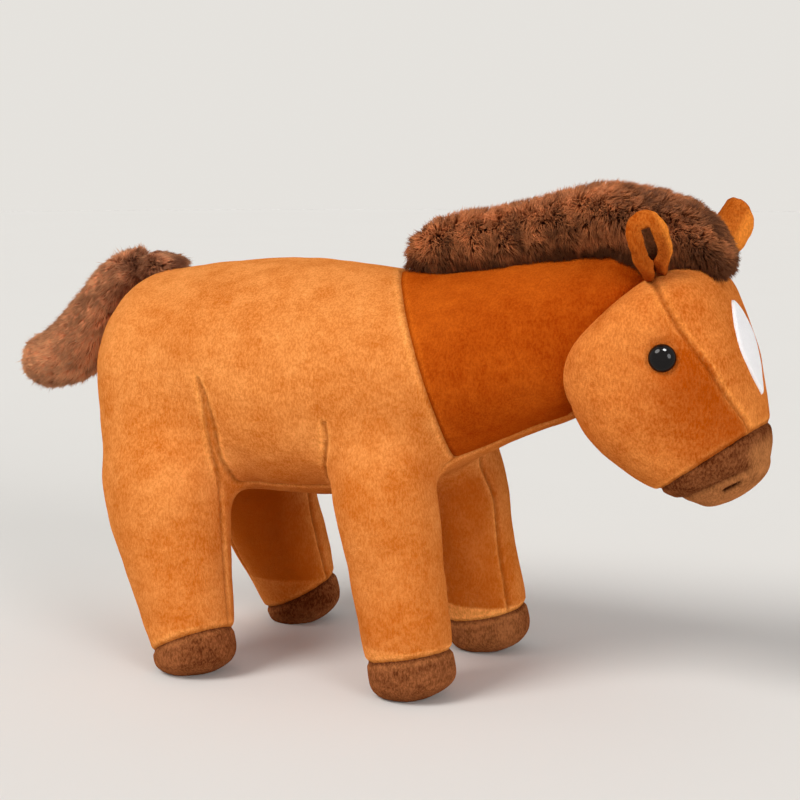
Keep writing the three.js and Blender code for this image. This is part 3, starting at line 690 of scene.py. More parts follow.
def fibre_material(colour):
    """Loose polyester fibre in clumps."""
    nodes = Nodes(bpy.data.materials.new("fibre_fill"))
    place = nodes.place()
    clumps = nodes.noise(place, 0.012, 4.0)
    threads = nodes.noise(place, 0.0012, 2.0, (1, 3, 1))
    tint = nodes.mix(clumps, rgba(colour, 0.8), rgba(colour))
    height = nodes.math("ADD", clumps, nodes.math("MULTIPLY", threads, 0.4))
    return nodes.surface(tint, height, 0.8, 0.003, Roughness=0.9, Sheen_Weight=0.3)


def floor_material(colour):
    """Pale matt floor with a very faint mottle."""
    nodes = Nodes(bpy.data.materials.new("floor"))
    cloudy = nodes.noise(nodes.place(), 0.25, 2.0)
    return nodes.surface(nodes.mix(cloudy, rgba(colour, 0.985), rgba(colour)), Roughness=1.0,
                         Specular_IOR_Level=0.0)


# What a user would change

def length_property(name, description, default, **limits):
    return FloatProperty(name=name, description=description, default=default, unit="LENGTH",
                         **limits)


class HorseSizes(bpy.types.PropertyGroup):
    """Sizes and counts of the horse's cloth, stuffing and fur."""

    grid: length_property("Cloth grid", "Face size before the last subdivision", 0.0036,
                          min=0.003, max=0.01)
    inset: length_property("Slack", "How far the cloth starts inside its full size", 0.001)
    swell: length_property("Swell limit", "How far the stuffing may push a point", 0.0026)
    pressure: FloatProperty(name="Stuffing pressure", default=4.0,
                            description="Air pressure that stands for fibre")
    seam_depth: length_property("Seam depth", "How deep a seam is drawn in", 0.0019)
    seam_width: length_property("Seam width", "Half width of a seam's groove", 0.0017)
    hip_fillet: length_property("Hip fillet", "Reach of the smooth join of leg and body", 0.03)
    mane_pile: length_property("Mane pile", "Length of the mane's hairs", 0.0115)
    tail_pile: length_property("Tail pile", "Length of the tail's hairs", 0.0115)
    mane_strands: IntProperty(name="Mane strands", default=28000,
                              description="Hairs in each half of the mane")
    tail_strands: IntProperty(name="Tail strands", default=27000,
                              description="Hairs on the tail")
    strand_width: length_property("Hair width", "Width of a hair at its root", 0.00062)


def colour_property(name, description, value):
    return FloatVectorProperty(name=name, description=description, default=value, size=3,
                               min=0, max=1, subtype="COLOR")


class HorseColours(bpy.types.PropertyGroup):
    """Colours of the horse's cloths, furs and plastic. A deep one is nap brushed the other way, and
    also colours the painted shade and the seam lines.
    """

    body: colour_property("Body plush", "Body and legs", (0.868, 0.332, 0.087))
    body_deep: colour_property("Body plush, deep", "Body's darker nap", (0.56, 0.132, 0.012))
    neck: colour_property("Neck plush", "Both sides of the neck", (0.57, 0.114, 0.008))
    neck_deep: colour_property("Neck plush, deep", "Neck's darker nap", (0.32, 0.038, 0.001))
    head: colour_property("Head plush", "Cheeks and forehead", (0.885, 0.307, 0.069))
    head_deep: colour_property("Head plush, deep", "Head's darker nap", (0.48, 0.084, 0.003))
    ear: colour_property("Ear plush", "Ears", (0.66, 0.185, 0.026))
    ear_deep: colour_property("Ear plush, deep", "Ears' darker nap", (0.36, 0.060, 0.003))
    hoof: colour_property("Hoof plush", "Hooves, nose and lip", (0.335, 0.112, 0.038))
    hoof_deep: colour_property("Hoof plush, deep", "Hooves' darker nap", (0.085, 0.018, 0.004))
    lining: colour_property("Ear lining", "Inside of the ears", (0.34, 0.130, 0.050))
    blaze: colour_property("Blaze", "Patch on the forehead", (1.0, 0.99, 1.0))
    blaze_deep: colour_property("Blaze, deep", "Blaze's darker nap", (0.93, 0.91, 0.93))
    fur_root: colour_property("Fur roots", "Mane and tail at the cloth", (0.050, 0.009, 0.002))
    mane_middle: colour_property("Mane hairs", "Mane along the hairs", (0.30, 0.072, 0.016))
    mane_tip: colour_property("Mane tips", "Ends of the mane's hairs", (0.70, 0.250, 0.090))
    tail_middle: colour_property("Tail hairs", "Tail along the hairs", (0.60, 0.175, 0.068))
    tail_tip: colour_property("Tail tips", "Ends of the tail's hairs", (0.95, 0.360, 0.175))
    eye: colour_property("Eyes", "Eye domes", (0.004, 0.003, 0.003))
    washer: colour_property("Washers", "Washers behind the eyes", (0.80, 0.80, 0.76))
    fibre: colour_property("Stuffing", "Polyester fibre", (0.88, 0.88, 0.85))
    floor: colour_property("Floor", "Floor", (0.721, 0.715, 0.700))
    backdrop: colour_property("Backdrop", "Background above the floor", (0.785, 0.763, 0.726))


# Pieces

def add_fill(name, skin, nodes, colours):
    """Loose fibre under a skin, in place of the CAD model's stuffing."""
    fill = link_mesh(name, skin.data.copy())
    push_out(fill.data, -FILL_DEPTH)
    apply_modifier(fill, "REMESH", mode="VOXEL", voxel_size=FILL_GRID)
    push_out(fill.data, relief(fill.data, FIBRE_LUMPS))
    finish_piece(fill, "horse", nodes, "fibre_fill", fibre_material(colours.fibre))


def stuffed_skin(name, tubes, sizes, draw_seams, fillet=None, trees=()):
    """One cloth skin round closed tubes: meshed evenly, filleted, stuffed and subdivided.

    The trees are the tubes' surfaces. Returns the skin, and its seams as points on it.
    """
    points, faces = [], []
    for tube_points, tube_faces in tubes:
        first = sum(len(p) for p in points)
        points.append(tube_points)
        faces += [tuple(i + first for i in f) for f in tube_faces]
    skin = add_object(name, np.vstack(points), faces)
    apply_modifier(skin, "REMESH", mode="VOXEL", voxel_size=sizes.grid)
    mesh = skin.data
    smooth(mesh, 0.5, 2)
    if fillet:
        weights, lift = fillet(read(mesh))
        push_out(mesh, lift)
        smooth(mesh, weights, FILLET_ROUNDS)
        push_out(mesh, -np.minimum(nearest_distance(trees, read(mesh)), 0))
        smooth(mesh, 0.4, 3)
    seams = draw_seams(surface_tree(mesh))
    stitched = nearest(seams, read(mesh))[1] < sizes.grid * 0.8
    push_out(mesh, -sizes.inset)
    inflate(skin, sizes.pressure, sizes.swell, stitched)
    smooth(mesh, 0.3, 2)
    apply_modifier(skin, "SUBSURF", levels=1, render_levels=1)
    mesh = skin.data
    push_out(mesh, relief(mesh, BULGES))
    near = surface_tree(mesh)
    return skin, np.array([near.find_nearest(p)[0] for p in seams.tolist()])


def sink_seams(mesh, seams, sizes):
    """Draws the cloth in along its seams, with small puckers, and marks them for the shader.

    Returns how pale the nap stands on either side of each seam.
    """
    points = read(mesh)
    far = nearest(seams, points)[1]
    pucker = 1 + 0.35 * lumps(points, 0.004, 3.0)
    depth, reach = HOLLOW
    push_out(mesh, -(sizes.seam_depth * bell(far, sizes.seam_width) * pucker
                     + depth * bell(far, reach)))
    set_attribute(mesh, "seam", bell(far, STITCH_WIDTH))
    paleness, beside, width = RAISED_NAP
    return paleness * bell(far - beside, width)


def mirrored(routes):
    return [[(x, side * y, z) for x, y, z in route] for route in routes for side in (1, -1)]


def hoof_plane(kind, side):
    place = leg_matrix(kind, side)
    axis = place.to_3x3() @ Vector((1, 0, 0))
    toe = place.translation + axis * HOOF_HEIGHT
    if kind == "hind":
        toe += Vector(HIND_HOOF_SHIFT)
        axis = Matrix.Rotation(math.radians(HIND_HOOF_TILT), 3, "Y") @ axis
    return Vector(metres(toe)), axis


def neck_plane(side):
    slope = math.tan(math.radians(NECK_SEAM_ANGLE))
    return Vector(metres(NECK_SEAM)), Vector((1, -side * slope, slope)).normalized()


def gusset_half_width(points):
    """Half width in metres of the belly panel at these points."""
    xs, widths = zip(*GUSSET)
    return np.interp(pattern(points)[:, 0], xs, widths) / 1000


def body_seams(tree):
    """All the seams of the body, neck and legs, as one cloud of points on the cloth."""
    routes = [draw_route(route, tree) for route in mirrored(LEG_SEAMS)]
    left = np.linspace(-0.45 * np.pi, 0.5 * np.pi, 260)  # from the throat up to the ridge
    ring = np.linspace(0, 2 * np.pi, 300)
    for side in SIDES.values():
        angles = left if side > 0 else np.pi - left
        line = crossing(TRUNK, angles, (0.3, 0.9, 400), neck_plane(side))
        above = line[:, 2] >= NECK_SEAM_LOW
        routes.append(line[above | (np.abs(line[:, 1]) > gusset_half_width(line))])
        for kind in LEGS:
            routes.append(crossing(leg_form(kind, side), ring, (-0.2, 0.5, 200),
                                   hoof_plane(kind, side)))
    return np.vstack(routes)


def cut_body(mesh):
    """Cuts the skin along the neck seams, the belly panel's front end and the hooves' seams."""
    planes, (back, front) = [], NECK_REACH
    for side in SIDES.values():
        planes.append((*neck_plane(side), lambda c, s=side:
                       c.y * s >= -1e-4 and c.z > NECK_LOW and back < c.x < front))
    for side in SIDES.values():
        for (x0, w0), (x1, w1) in zip(GUSSET[1:], GUSSET[2:]):
            start, end = Vector(metres((x0, side * w0, 0))), Vector(metres((x1, side * w1, 0)))
            normal = (end - start).cross(Vector((0, 0, 1))).normalized()
            planes.append((start, normal, lambda c, s=side, low=start.x, high=end.x:
                           c.y * s > 0 and 0.1 < c.z < BELLY_TOP
                           and low - 0.002 < c.x < high + 0.002))
    for kind in LEGS:
        for side in SIDES.values():
            point, normal = hoof_plane(kind, side)
            planes.append((point, normal, lambda c, p=point:
                           c.z < HOOF_CUT and (c.xy - p.xy).length < HOOF_CUT))
    cut(mesh, planes)


def body_panels(middles, hooves):
    """Which panel each face is on: 0 body, 1 neck, 2 and up the hooves, -1 inside the head."""
    panels = np.zeros(len(middles), int)
    strip = (middles[:, 2] < BELLY_TOP) & (np.abs(middles[:, 1]) < gusset_half_width(middles))
    for side in SIDES.values():
        ahead = beyond(middles, neck_plane(side)) > 0
        panels[ahead & (middles[:, 1] * side > 0) & (middles[:, 2] > NECK_LOW) & ~strip] = 1
    for number, (kind, side) in enumerate(hooves, 2):
        plane = hoof_plane(kind, SIDES[side])
        near = np.linalg.norm((middles - np.array(plane[0]))[:, :2], axis=1) < HOOF_REACH
        panels[near & (beyond(middles, plane) < 0)] = number
    front = np.flatnonzero(middles[:, 0] > HEAD_START)
    panels[front[signed_distance(form_tree(HEAD, -2.0), middles[front]) < -OVERLAP]] = -1
    return panels


def gore(points):
    """Where the narrow panel is that starts at the stifle and runs down each hind leg's front."""
    x, _, z = pattern(points).T
    back_x, _, back_z = np.array(LEG_SEAMS[0][::-1]).T
    front_x, _, front_z = np.array(LEG_SEAMS[1][4::-1]).T
    front = np.interp(z, front_z, front_x, left=-40)
    return unit((x - np.interp(z, back_z, back_x)) / 2) * unit((front - x) / 2)


def body_shade(points, out, to_head):
    """Painted shade on the legs' inward sides, under the belly and on the neck below the head;
    darker low on the legs and towards the chest; darker nap on the gores; painted light, as
    negative values, on the front hooves' inner sides.
    """
    x, _, z = points.T
    # Painted shade on the sides of the legs that face in towards the other legs.
    inner = np.zeros(len(points))
    for kind in LEGS:
        for side in SIDES.values():
            foot_x = metres(leg_matrix(kind, side).translation)[0]
            near_leg = (np.abs(x - foot_x) < 0.08) & (points[:, 1] * side > 0)
            facing = unit(-out[:, 1] * side * 1.2 + out[:, 0] * 0.3 - 0.1)
            inner = np.maximum(inner, near_leg * facing * unit((0.15 - z) / 0.04))
    # Painted shade under the belly, and on the neck where the head shades it.
    belly = 1.2 * unit(-out[:, 2] - 0.5) * unit((z - 0.07) / 0.02)
    throat = 0.35 * np.exp(-np.maximum(to_head, 0) / 0.012)
    # Darker low on the legs and towards the chest.
    low = unit((0.15 - z) / 0.1) * 0.2 + unit(x / 0.05) * 0.12
    foot = z < HOOF_TOP
    low[foot | (z > 0.2)] = 0
    # Less painted shade on the hind hooves; on the front hooves it turns negative, painted light.
    inner *= np.where(x < 0, 1 - 0.5 * foot, 0.68 - 0.95 * foot)
    shade = unit(np.maximum.reduce([inner, belly, throat, low, 0.42 * gore(points) * ~foot]))
    return np.where(inner < 0, inner, shade)


def build_body(sizes, colours):
    hooves = [(kind, side) for kind in LEGS for side in SIDES]
    legs = [leg_form(kind, SIDES[side]) for kind, side in hooves]
    trunk_tree = form_tree(TRUNK)
    leg_trees = [form_tree(form) for form in legs]
    tubes = [TRUNK.tube(90, 72, 14)] + [form.tube(36, 40, 10) for form in legs]

    def fillet(points):
        to_trunk = signed_distance(trunk_tree, points)
        to_leg = nearest_distance(leg_trees, points)
        reach = sizes.hip_fillet * np.clip((points[:, 2] - 0.08) / 0.06, 0.25, 1.0)
        weights = 0.5 * unit(1.4 - np.maximum(np.abs(to_trunk), np.abs(to_leg)) / reach)
        rear = unit((-0.09 - points[:, 0]) / 0.03)
        join = unit(1 - np.abs(to_trunk - to_leg) / sizes.hip_fillet)
        return weights, REAR_FULLNESS * join ** 2 * rear

    skin, seams = stuffed_skin("horse_skin", tubes, sizes, body_seams, fillet,
                               [trunk_tree, *leg_trees])
    mesh = skin.data
    points = read(mesh)
    points[:, 2] = np.maximum(points[:, 2], 0)
    write(mesh, points)
    stuffing = ["stuffing_body"] + [f"stuffing_leg_{kind}_{side}" for kind, side in hooves]
    add_fill("body_fill", skin, stuffing, colours)
    cut_body(mesh)
    mark_panels(mesh, body_panels(read(mesh, "center", "polygons"), hooves))
    raised = sink_seams(mesh, seams, sizes)
    points, out = read(mesh), read(mesh, "normal")
    to_head = signed_distance(form_tree(HEAD), points)
    crease = bell(np.maximum(to_head, 0), CREASE_REACH) * NECK_CREASE
    crease[points[:, 0] < 0.1] = 0
    push_out(mesh, -crease)
    set_attribute(mesh, "shade", body_shade(points, out, to_head) - raised)

    tan = plush_material("tan_plush", colours.body, colours.body_deep)
    rust = plush_material("rust_plush", colours.neck, colours.neck_deep, 0.9)
    brown = plush_material("hoof_plush", colours.hoof, colours.hoof_deep, 1.25, 0.4)
    covers = [
        ("body_cover", ["body_side_right", "body_side_left", "belly_panel"]
         + [f"leg_{kind}_{side}_cover" for kind, side in hooves], "tan_plush", tan, BODY_TIGHT),
        ("neck_cover", ["neck_side_right", "neck_side_left"], "rust_plush", rust, BODY_TIGHT),
    ]
    covers += [(f"hoof_{kind}_{side}_cover", [f"hoof_{kind}_{side}", f"sole_{kind}_{side}"],
                "hoof_plush", brown, HOOF_TIGHT) for kind, side in hooves]
    finish_panels(skin, covers)


def in_head(x, y, z):
    return head_matrix() @ Vector((x, y, z))


def head_local(points):
    """Metres in the frame to the head's own millimetres."""
    turn = np.array(head_matrix().inverted())
    return pattern(points) @ turn[:3, :3].T + turn[:3, 3]


def eye_place(side):
    """The eye's middle on the cheek and its outward direction, in metres."""
    x, z, _, _, sink = EYE
    t = HEAD.place_along(x)
    centre, up = spline(HEAD.middle, np.array(t))[1], spline(HEAD.size, np.array(t))[0]
    high = math.asin((z - centre) / up)
    angle = np.array(high if side > 0 else math.pi - high)
    out = HEAD.normal(t, angle)
    return HEAD.surface(t, angle) - out * sink / 1000, out


def head_plane(x, lean=0):
    """A plane across the head at x along it, which leans by these degrees."""
    tilt = math.radians(lean)
    normal = head_matrix().to_3x3() @ Vector((math.cos(tilt), 0, -math.sin(tilt)))
    return Vector(metres(in_head(x, 0, 0))), normal


def head_seams(tree):
    """The forehead's two seams, the chin seam and the muzzle's, as points on the cloth."""
    routes = []
    for side in SIDES.values():
        route = [np.array(in_head(x, side * y, 33 - x * 0.04)) for x, y in FOREHEAD_SEAM]
        routes.append(draw_route(route, tree))
    chin = [np.array(in_head(x, 0, -90)) for x in (20, 50, 80, 103)]
    routes.append(draw_route(chin, tree))
    ring = np.linspace(0, 2 * np.pi, 420)
    routes.append(crossing(HEAD, ring, (0.6, 1.2, 300), head_plane(MUZZLE_X)))
    return np.vstack(routes)


def head_shade(points, out, past_mouth, raised):
    """Painted shade on the cheeks in front of the eyes, below the forehead's seams, less beside the
    seams; on the muzzle a darker nose, a rubbed-pale lip and painted light on the nose's
    forward-facing front.
    """
    x, y, z = head_local(points).T
    xs, widths = zip(*FOREHEAD_SEAM)
    cheek = unit((np.abs(y) - np.interp(x, xs, widths)) / 0.8 + 0.5)
    below = bell(np.clip(26 - z, 0, None), 30)
    # Painted shade on the cheek in front of the eye.
    front = unit(0.7 * cheek * below * unit((x - 20) / 35))
    # Painted light on the forward-facing front of the nose, and the lip's nap rubbed pale.
    rubbed_and_lit = unit((x - 106) / 8) * unit((out[:, 0] - 0.8) * 7)
    rubbed_and_lit = np.maximum(rubbed_and_lit, np.clip(past_mouth / 0.0012 + 0.2, 0, 0.75))
    return np.where(x < MUZZLE_X, front - raised, 0.12 - 0.9 * rubbed_and_lit)


def build_head(sizes, colours):
    tube = HEAD.tube(60, 72, 14, grow=HEAD_PILE)
    skin, seams = stuffed_skin("head_skin", [tube], sizes, head_seams)
    mesh = skin.data
    add_fill("head_fill", skin, ["stuffing_head"], colours)
    muzzle, mouth = head_plane(MUZZLE_X), head_plane(*MOUTH)
    cut(mesh, [(*plane, lambda c: True) for plane in (muzzle, mouth)])
    middles = read(mesh, "center", "polygons")
    panels = np.where(beyond(middles, muzzle) > 0, np.where(beyond(middles, mouth) > 0, 2, 1), 0)
    panels[signed_distance(form_tree(TRUNK, -2.0), middles) < -OVERLAP] = -1
    mark_panels(mesh, panels)
    raised = sink_seams(mesh, seams, sizes)

    points, out = read(mesh), read(mesh, "normal")
    dent = np.zeros(len(points))
    depth, radius, width = EYE_SOCKET
    for side in SIDES.values():
        far = np.linalg.norm(points - eye_place(side)[0], axis=1)
        dent += depth * bell(far - radius, width)
    surface = surface_tree(mesh)
    stitch = np.vstack([draw_route(route, surface) for route in mirrored([MOUTH_STITCH])])
    slit = bell(nearest(stitch, points)[1], SLIT_WIDTH)
    past_mouth = beyond(points, mouth)
    at_mouth = bell(past_mouth, MOUTH_WIDTH) * np.clip((0.97 - out[:, 0]) / 0.2, 0.2, 1)
    dent += MOUTH_DEPTH * at_mouth + SLIT_DEPTH * slit
    to_trunk = signed_distance(form_tree(TRUNK), points)
    dent += bell(np.maximum(to_trunk, 0), CREASE_REACH) * HEAD_CREASE
    push_out(mesh, -dent)
    set_attribute(mesh, "shade", head_shade(points, out, past_mouth, raised))
    seam = np.empty(len(points), np.float32)
    mesh.attributes["seam"].data.foreach_get("value", seam)
    set_attribute(mesh, "seam", np.maximum.reduce([seam, 0.5 * at_mouth, 2.4 * slit]))

    cloth = plush_material("head_plush", colours.head, colours.head_deep, 0.85)
    brown = plush_material("muzzle_plush", colours.hoof, colours.hoof_deep, 1.25)
    covers = (
        ("head_cover", ["head_side_right", "head_side_left", "forehead_panel"], "tan_plush",
         cloth, HEAD_TIGHT),
        ("nose_cover", ["nose"], "hoof_plush", brown, HOOF_TIGHT),
        ("lip_cover", ["lip"], "hoof_plush", brown, HOOF_TIGHT),
    )
    finish_panels(skin, covers)


def rounded(rim, radius=4.2):
    """The share of a sheet's thickness at this distance from its rounded rim."""
    return math.sqrt(max(0.0, 1 - (1 - min(rim / radius, 1)) ** 2))


def build_blaze(colours):
    """A white spindle lying on the forehead, domed a little and rounded at its edge."""
    tree = surface_tree(bpy.data.objects["head_cover"].data)
    start, length, half_width, middle = BLAZE
    inwards = head_matrix().to_3x3() @ Vector((0, 0, -1))
    along, across = 70, 36
    tops, bottoms = [], []
    for i in range(along + 1):
        share = i / along
        half = half_width * math.sin(math.pi * share ** 0.92) ** 0.85 + 0.15
        ragged = 0.25 * noise(Vector((share * 30, 1.7, 0)))
        for j in range(across + 1):
            w = 2 * j / across - 1
            x, y = start + length * share, middle + w * (half + ragged)
            hit, out, _, _ = tree.ray_cast(Vector(metres(in_head(x, y, 120))), inwards)
            if hit is None:
                raise RuntimeError("the blaze misses the forehead")
            inner = min(half * (1 - abs(w)), length * min(share, 1 - share) * 0.8)
            tops.append(hit + out * (BLAZE_DOME * rounded(inner, 2.6) - BLAZE_SINK))
            bottoms.append(hit - out * BLAZE_UNDER)
    patch = close_sheet("blaze", tops, bottoms, across)
    white = plush_material("white_plush", colours.blaze, colours.blaze_deep, 0.8, 0.2)
    finish_piece(patch, "horse", ["blaze_patch"], "white_plush", white)


def lathe(name, profile, around, place, out):
    """A closed turned piece about an axis through a point."""
    turn = Vector((0, 0, 1)).rotation_difference(Vector(out)).to_matrix()
    turns = [2 * math.pi * j / around for j in range(around)]
    points = [turn @ Vector((radius * math.cos(a), radius * math.sin(a), height)) / 1000
              + Vector(place) for radius, height in profile for a in turns]
    last = (len(profile) - 1) * around
    faces = [(i + j, i + (j + 1) % around, i + around + (j + 1) % around, i + around + j)
             for i in range(0, last, around) for j in range(around)]
    faces += [tuple(reversed(range(around))), tuple(range(last, last + around))]
    return add_object(name, points, faces)


def build_eyes(colours):
    _, _, radius, rise, _ = EYE
    glossy = plastic_material("eye_plastic", colours.eye, 0.04, 0.2)
    pale = plastic_material("washer_plastic", colours.washer, 0.4, 0.5)
    bends = [math.radians(90) * k / 24 for k in range(24)]
    profile = EYE_STEM + [(radius * math.cos(a) ** 0.96, rise * math.sin(a)) for a in bends]
    profile.append((0.05, rise))
    for side, sign in SIDES.items():
        dome = lathe(f"eye_dome_{side}", profile, 64, *eye_place(sign))
        finish_piece(dome, "horse", [f"eye_{side}"], "eye_plastic", glossy)
        dress(frame["nodes"][f"eye_washer_{side}"], pale)


def ear_matrix(side):
    """The ear's own frame: X across the leaf, Y out of the cup, Z up it, from its hinge."""
    lean, forward = (math.radians(angle) for angle in EARS[side][:2])
    sign = SIDES[side]
    facing = sign * math.radians(EAR_FACING)
    opening = Vector((math.cos(facing), math.sin(facing), 0))
    rise = Vector((0, sign * math.sin(lean), math.cos(lean))) * math.cos(forward)
    rise += Vector((math.sin(forward), 0, 0))
    across = opening.cross(rise).normalized()
    turn = Matrix((across, rise.cross(across), rise)).transposed().to_4x4()
    return Matrix.Translation(joint(f"ear_{side}_fold")["pos_m"]) @ turn


def leaf_half_width(share):
    widest, base = 0.46, 0.66
    if share < widest:
        swelling = math.sin(max(share, 0) / widest * math.pi / 2)
        return EAR_HALF_WIDTH * (base + (1 - base) * swelling)
    rest = min((share - widest) / (1 - widest), 1)
    return EAR_HALF_WIDTH * math.sqrt(1 - rest ** 2.4)


def leaf_curl(share, curl):
    """Radius of the leaf's fold: pinched at the base and opening upwards."""
    rise = min(max(share, 0) / 0.5, 1)
    return curl * (0.55 + 0.45 * rise * rise * (3 - 2 * rise))


def leaf_shell(name, side, shares, reach, inside, outside, columns=60):
    """A closed sheet bent round the ear's curl, between two offsets from it.

    The inside one depends on a point's distance from the rim and its share of the height, the
    outside one on the distance alone.
    """
    place, curl, creep = ear_matrix(side), EARS[side][2], Vector(EARS[side][4]) / 1000
    sheets = ([], [])
    for share in shares:
        fold = leaf_curl(share, curl)
        half = max(leaf_half_width(share) * reach, 0.05)
        high = share * EAR_HEIGHT
        for w in np.sin(np.linspace(-1, 1, columns + 1) * math.pi / 2):
            rim = min(half * (1 - abs(w)), (shares[-1] - share) * EAR_HEIGHT)
            bend = w * half / fold
            for sheet, offset in zip(sheets, (inside(rim, share), outside(rim))):
                radius = max(fold - offset, 0.6)
                local = Vector((math.sin(bend) * radius, fold - math.cos(bend) * radius, high))
                sheet.append(place @ (local / 1000) + creep * (1 - min(share, 1)) ** 2)
    return close_sheet(name, *sheets, columns, merge=2e-5)


def build_ears(colours):
    cloth = plush_material("ear_plush", colours.ear, colours.ear_deep)
    lining = plush_material("ear_lining", colours.lining, [c * 0.5 for c in colours.lining])
    towards_tip = 0.5 + 0.5 * np.sin(np.linspace(0, 0.995, 34) * math.pi / 2)
    rows = np.concatenate([np.linspace(-0.06, 0.5, 26)[:-1], towards_tip])
    for side, sign in SIDES.items():
        curl, roll = EARS[side][2:4]

        def inside(rim, share):
            low = max(0.0, 1 - max(share, 0) / 0.45)
            rolled = (roll + 2.4 * low) * math.exp(-((rim - 5.6) / (4.3 + 2 * low)) ** 2)
            return (1.4 + rolled) * rounded(rim)

        leaf = leaf_shell(f"ear_{side}_leaf", side, rows, 1.04, inside,
                          lambda rim: -2.1 * rounded(rim))
        points = read(leaf.data)
        push_out(leaf.data, relief(leaf.data, EAR_CREASES))
        place = ear_matrix(side)
        across, _, up = ((points - np.array(place.translation)) @ np.array(place.to_3x3())).T
        across *= sign
        # Painted shade low on the ear, where it meets the head, and along one side of its fold;
        # painted light on the other side's outer band.
        shade = unit(1 - up / 0.014) * 0.6 + unit(-across / 0.007) * 0.35
        pale = unit((across * 1000 - curl + 2.8) / 2.5) * 0.5
        set_attribute(leaf.data, "shade", unit(shade) - pale)
        finish_piece(leaf, f"ear_{side}", [f"ear_{side}_back"], "tan_plush", cloth)
        pad = leaf_shell(f"ear_{side}_pad", side, np.linspace(0.02, 0.84, 30), 0.76,
                         lambda rim, share: 1.6 + 1.1 * rounded(rim, 3.0), lambda rim: 0.5, 30)
        finish_piece(pad, f"ear_{side}", [f"ear_{side}_lining"], "ear_lining", lining)


def normalised(vectors):
    return vectors / np.linalg.norm(vectors, axis=1, keepdims=True)


def strands(name, roots, normals, comb, length, width, seed, trim, dark=0.0, loose=0.0):
    """Closed tapered hairs standing on the roots, drawn together in locks towards their tips.

    The trim function tells how far points stand out of the clipped fur, and loose lets some
    stand out more.
    """
    random = np.random.default_rng(seed)
    count = len(roots)
    parting = np.stack([lumps(roots, LOCK_SIZE, 5.0 + 9 * k) for k in range(3)], 1)
    comb = comb + parting * 0.6
    lead = normalised(normals + comb + random.normal(0, 0.2, (count, 3)))
    long = (length * random.uniform(*HAIR_LENGTHS, count))[:, None]
    middle = roots + lead * long * HAIR_LOWER
    bend = normalised(lead + comb * 0.6 + random.normal(0, 0.12, (count, 3)) + (0, 0, -0.12))
    tips = middle + bend * long * HAIR_UPPER
    heads = random.permutation(count)[:max(int(count * LOCK_SHARE), 1)]
    leader = nearest(roots[heads], roots)[0]
    pull = random.uniform(*LOCK_PULL, count)[:, None]
    tips += (tips[heads][leader] - tips) * pull
    middle += (middle[heads][leader] - middle) * pull * MIDDLE_PULL
    stray = random.exponential(HAIR_STRAY, count) + loose
    for points, rest in ((tips, stray), (middle, loose - MIDDLE_TRIM)):
        points -= normals * np.maximum(trim(points) - rest, 0)[:, None]
    side = normalised(np.cross(lead, random.normal(0, 1, (count, 3))))
    other = np.cross(lead, side)
    half = width / 2 * random.uniform(*HAIR_WIDTHS, count)[:, None]
    corners = []
    for centre, size in ((roots - normals * HAIR_SINK, 1.0), (middle, 0.85)):
        for k in range(3):
            a = 2 * math.pi * k / 3
            corners.append(centre + (side * math.cos(a) + other * math.sin(a)) * half * size)
    corners.append(tips)
    points = np.stack(corners, 1).reshape(-1, 3)
    pattern_faces = [(2, 1, 0), (0, 1, 4, 3), (1, 2, 5, 4), (2, 0, 3, 5),
                     (3, 4, 6), (4, 5, 6), (5, 3, 6)]
    first = (np.arange(count) * 7)[:, None]
    loops = np.concatenate([first + np.array(face) for face in pattern_faces], 1).ravel()
    sizes = np.tile([len(face) for face in pattern_faces], count)
    starts = np.concatenate([[0], np.cumsum(sizes)[:-1]])
    mesh = bpy.data.meshes.new(name)
    for items, size, what, values in (
            (mesh.vertices, len(points), "co", points.astype(np.float32).ravel()),
            (mesh.loops, len(loops), "vertex_index", loops.astype(np.int32)),
            (mesh.polygons, len(sizes), "loop_start", starts.astype(np.int32))):
        items.add(size)
        items.foreach_set(what, values)
    mesh.update(calc_edges=True)
    set_attribute(mesh, "along", np.tile([0, 0, 0, *[HAIR_LOWER] * 3, 1.0], count))
    lock_tone, hair_tone = random.uniform(0, 1, len(heads)), random.uniform(0, 1, count)
    tone = LOCK_TONE * lock_tone[leader] + (1 - LOCK_TONE) * hair_tone
    set_attribute(mesh, "strand", np.repeat(tone - dark, 7))
    return link_mesh(name, mesh)


def scatter(points, faces, count, seed, keep):
    """Evenly random places on a surface of quads and triangles, with their normals."""
    random = np.random.default_rng(seed)
    triangles = np.array([corners for face in faces
                          for corners in (face[:3], (face[0], *face[2:])) if len(corners) == 3])
    a, b, c = (points[triangles[:, k]] for k in range(3))
    out = np.cross(b - a, c - a)
    area = np.linalg.norm(out, axis=1)
    out /= np.maximum(area, 1e-12)[:, None]
    weight = area * keep((a + b + c) / 3)
    chosen = random.choice(len(triangles), count, p=weight / weight.sum())
    u, v = random.uniform(0, 1, (2, count, 1))
    flip = u + v > 1
    u, v = np.where(flip, 1 - u, u), np.where(flip, 1 - v, v)
    places = a[chosen] + (b[chosen] - a[chosen]) * u + (c[chosen] - a[chosen]) * v
    vertex_normals = np.zeros_like(points)
    for k in range(3):
        np.add.at(vertex_normals, triangles[:, k], out * area[:, None])
    vertex_normals /= np.maximum(np.linalg.norm(vertex_normals, axis=1, keepdims=True), 1e-12)
    na, nb, nc = (vertex_normals[triangles[chosen, k]] for k in range(3))
    return places, normalised(na + (nb - na) * u + (nc - na) * v)


def add_core(name, form_mesh, body, node, fur, tight=None):
    """The cloth that fur stands on."""
    core = add_object(name, *form_mesh)
    set_attribute(core.data, "along", np.full(len(form_mesh[0]), ROOT_TONE))
    finish_piece(core, body, [node], "brown_fur", fur, tight)


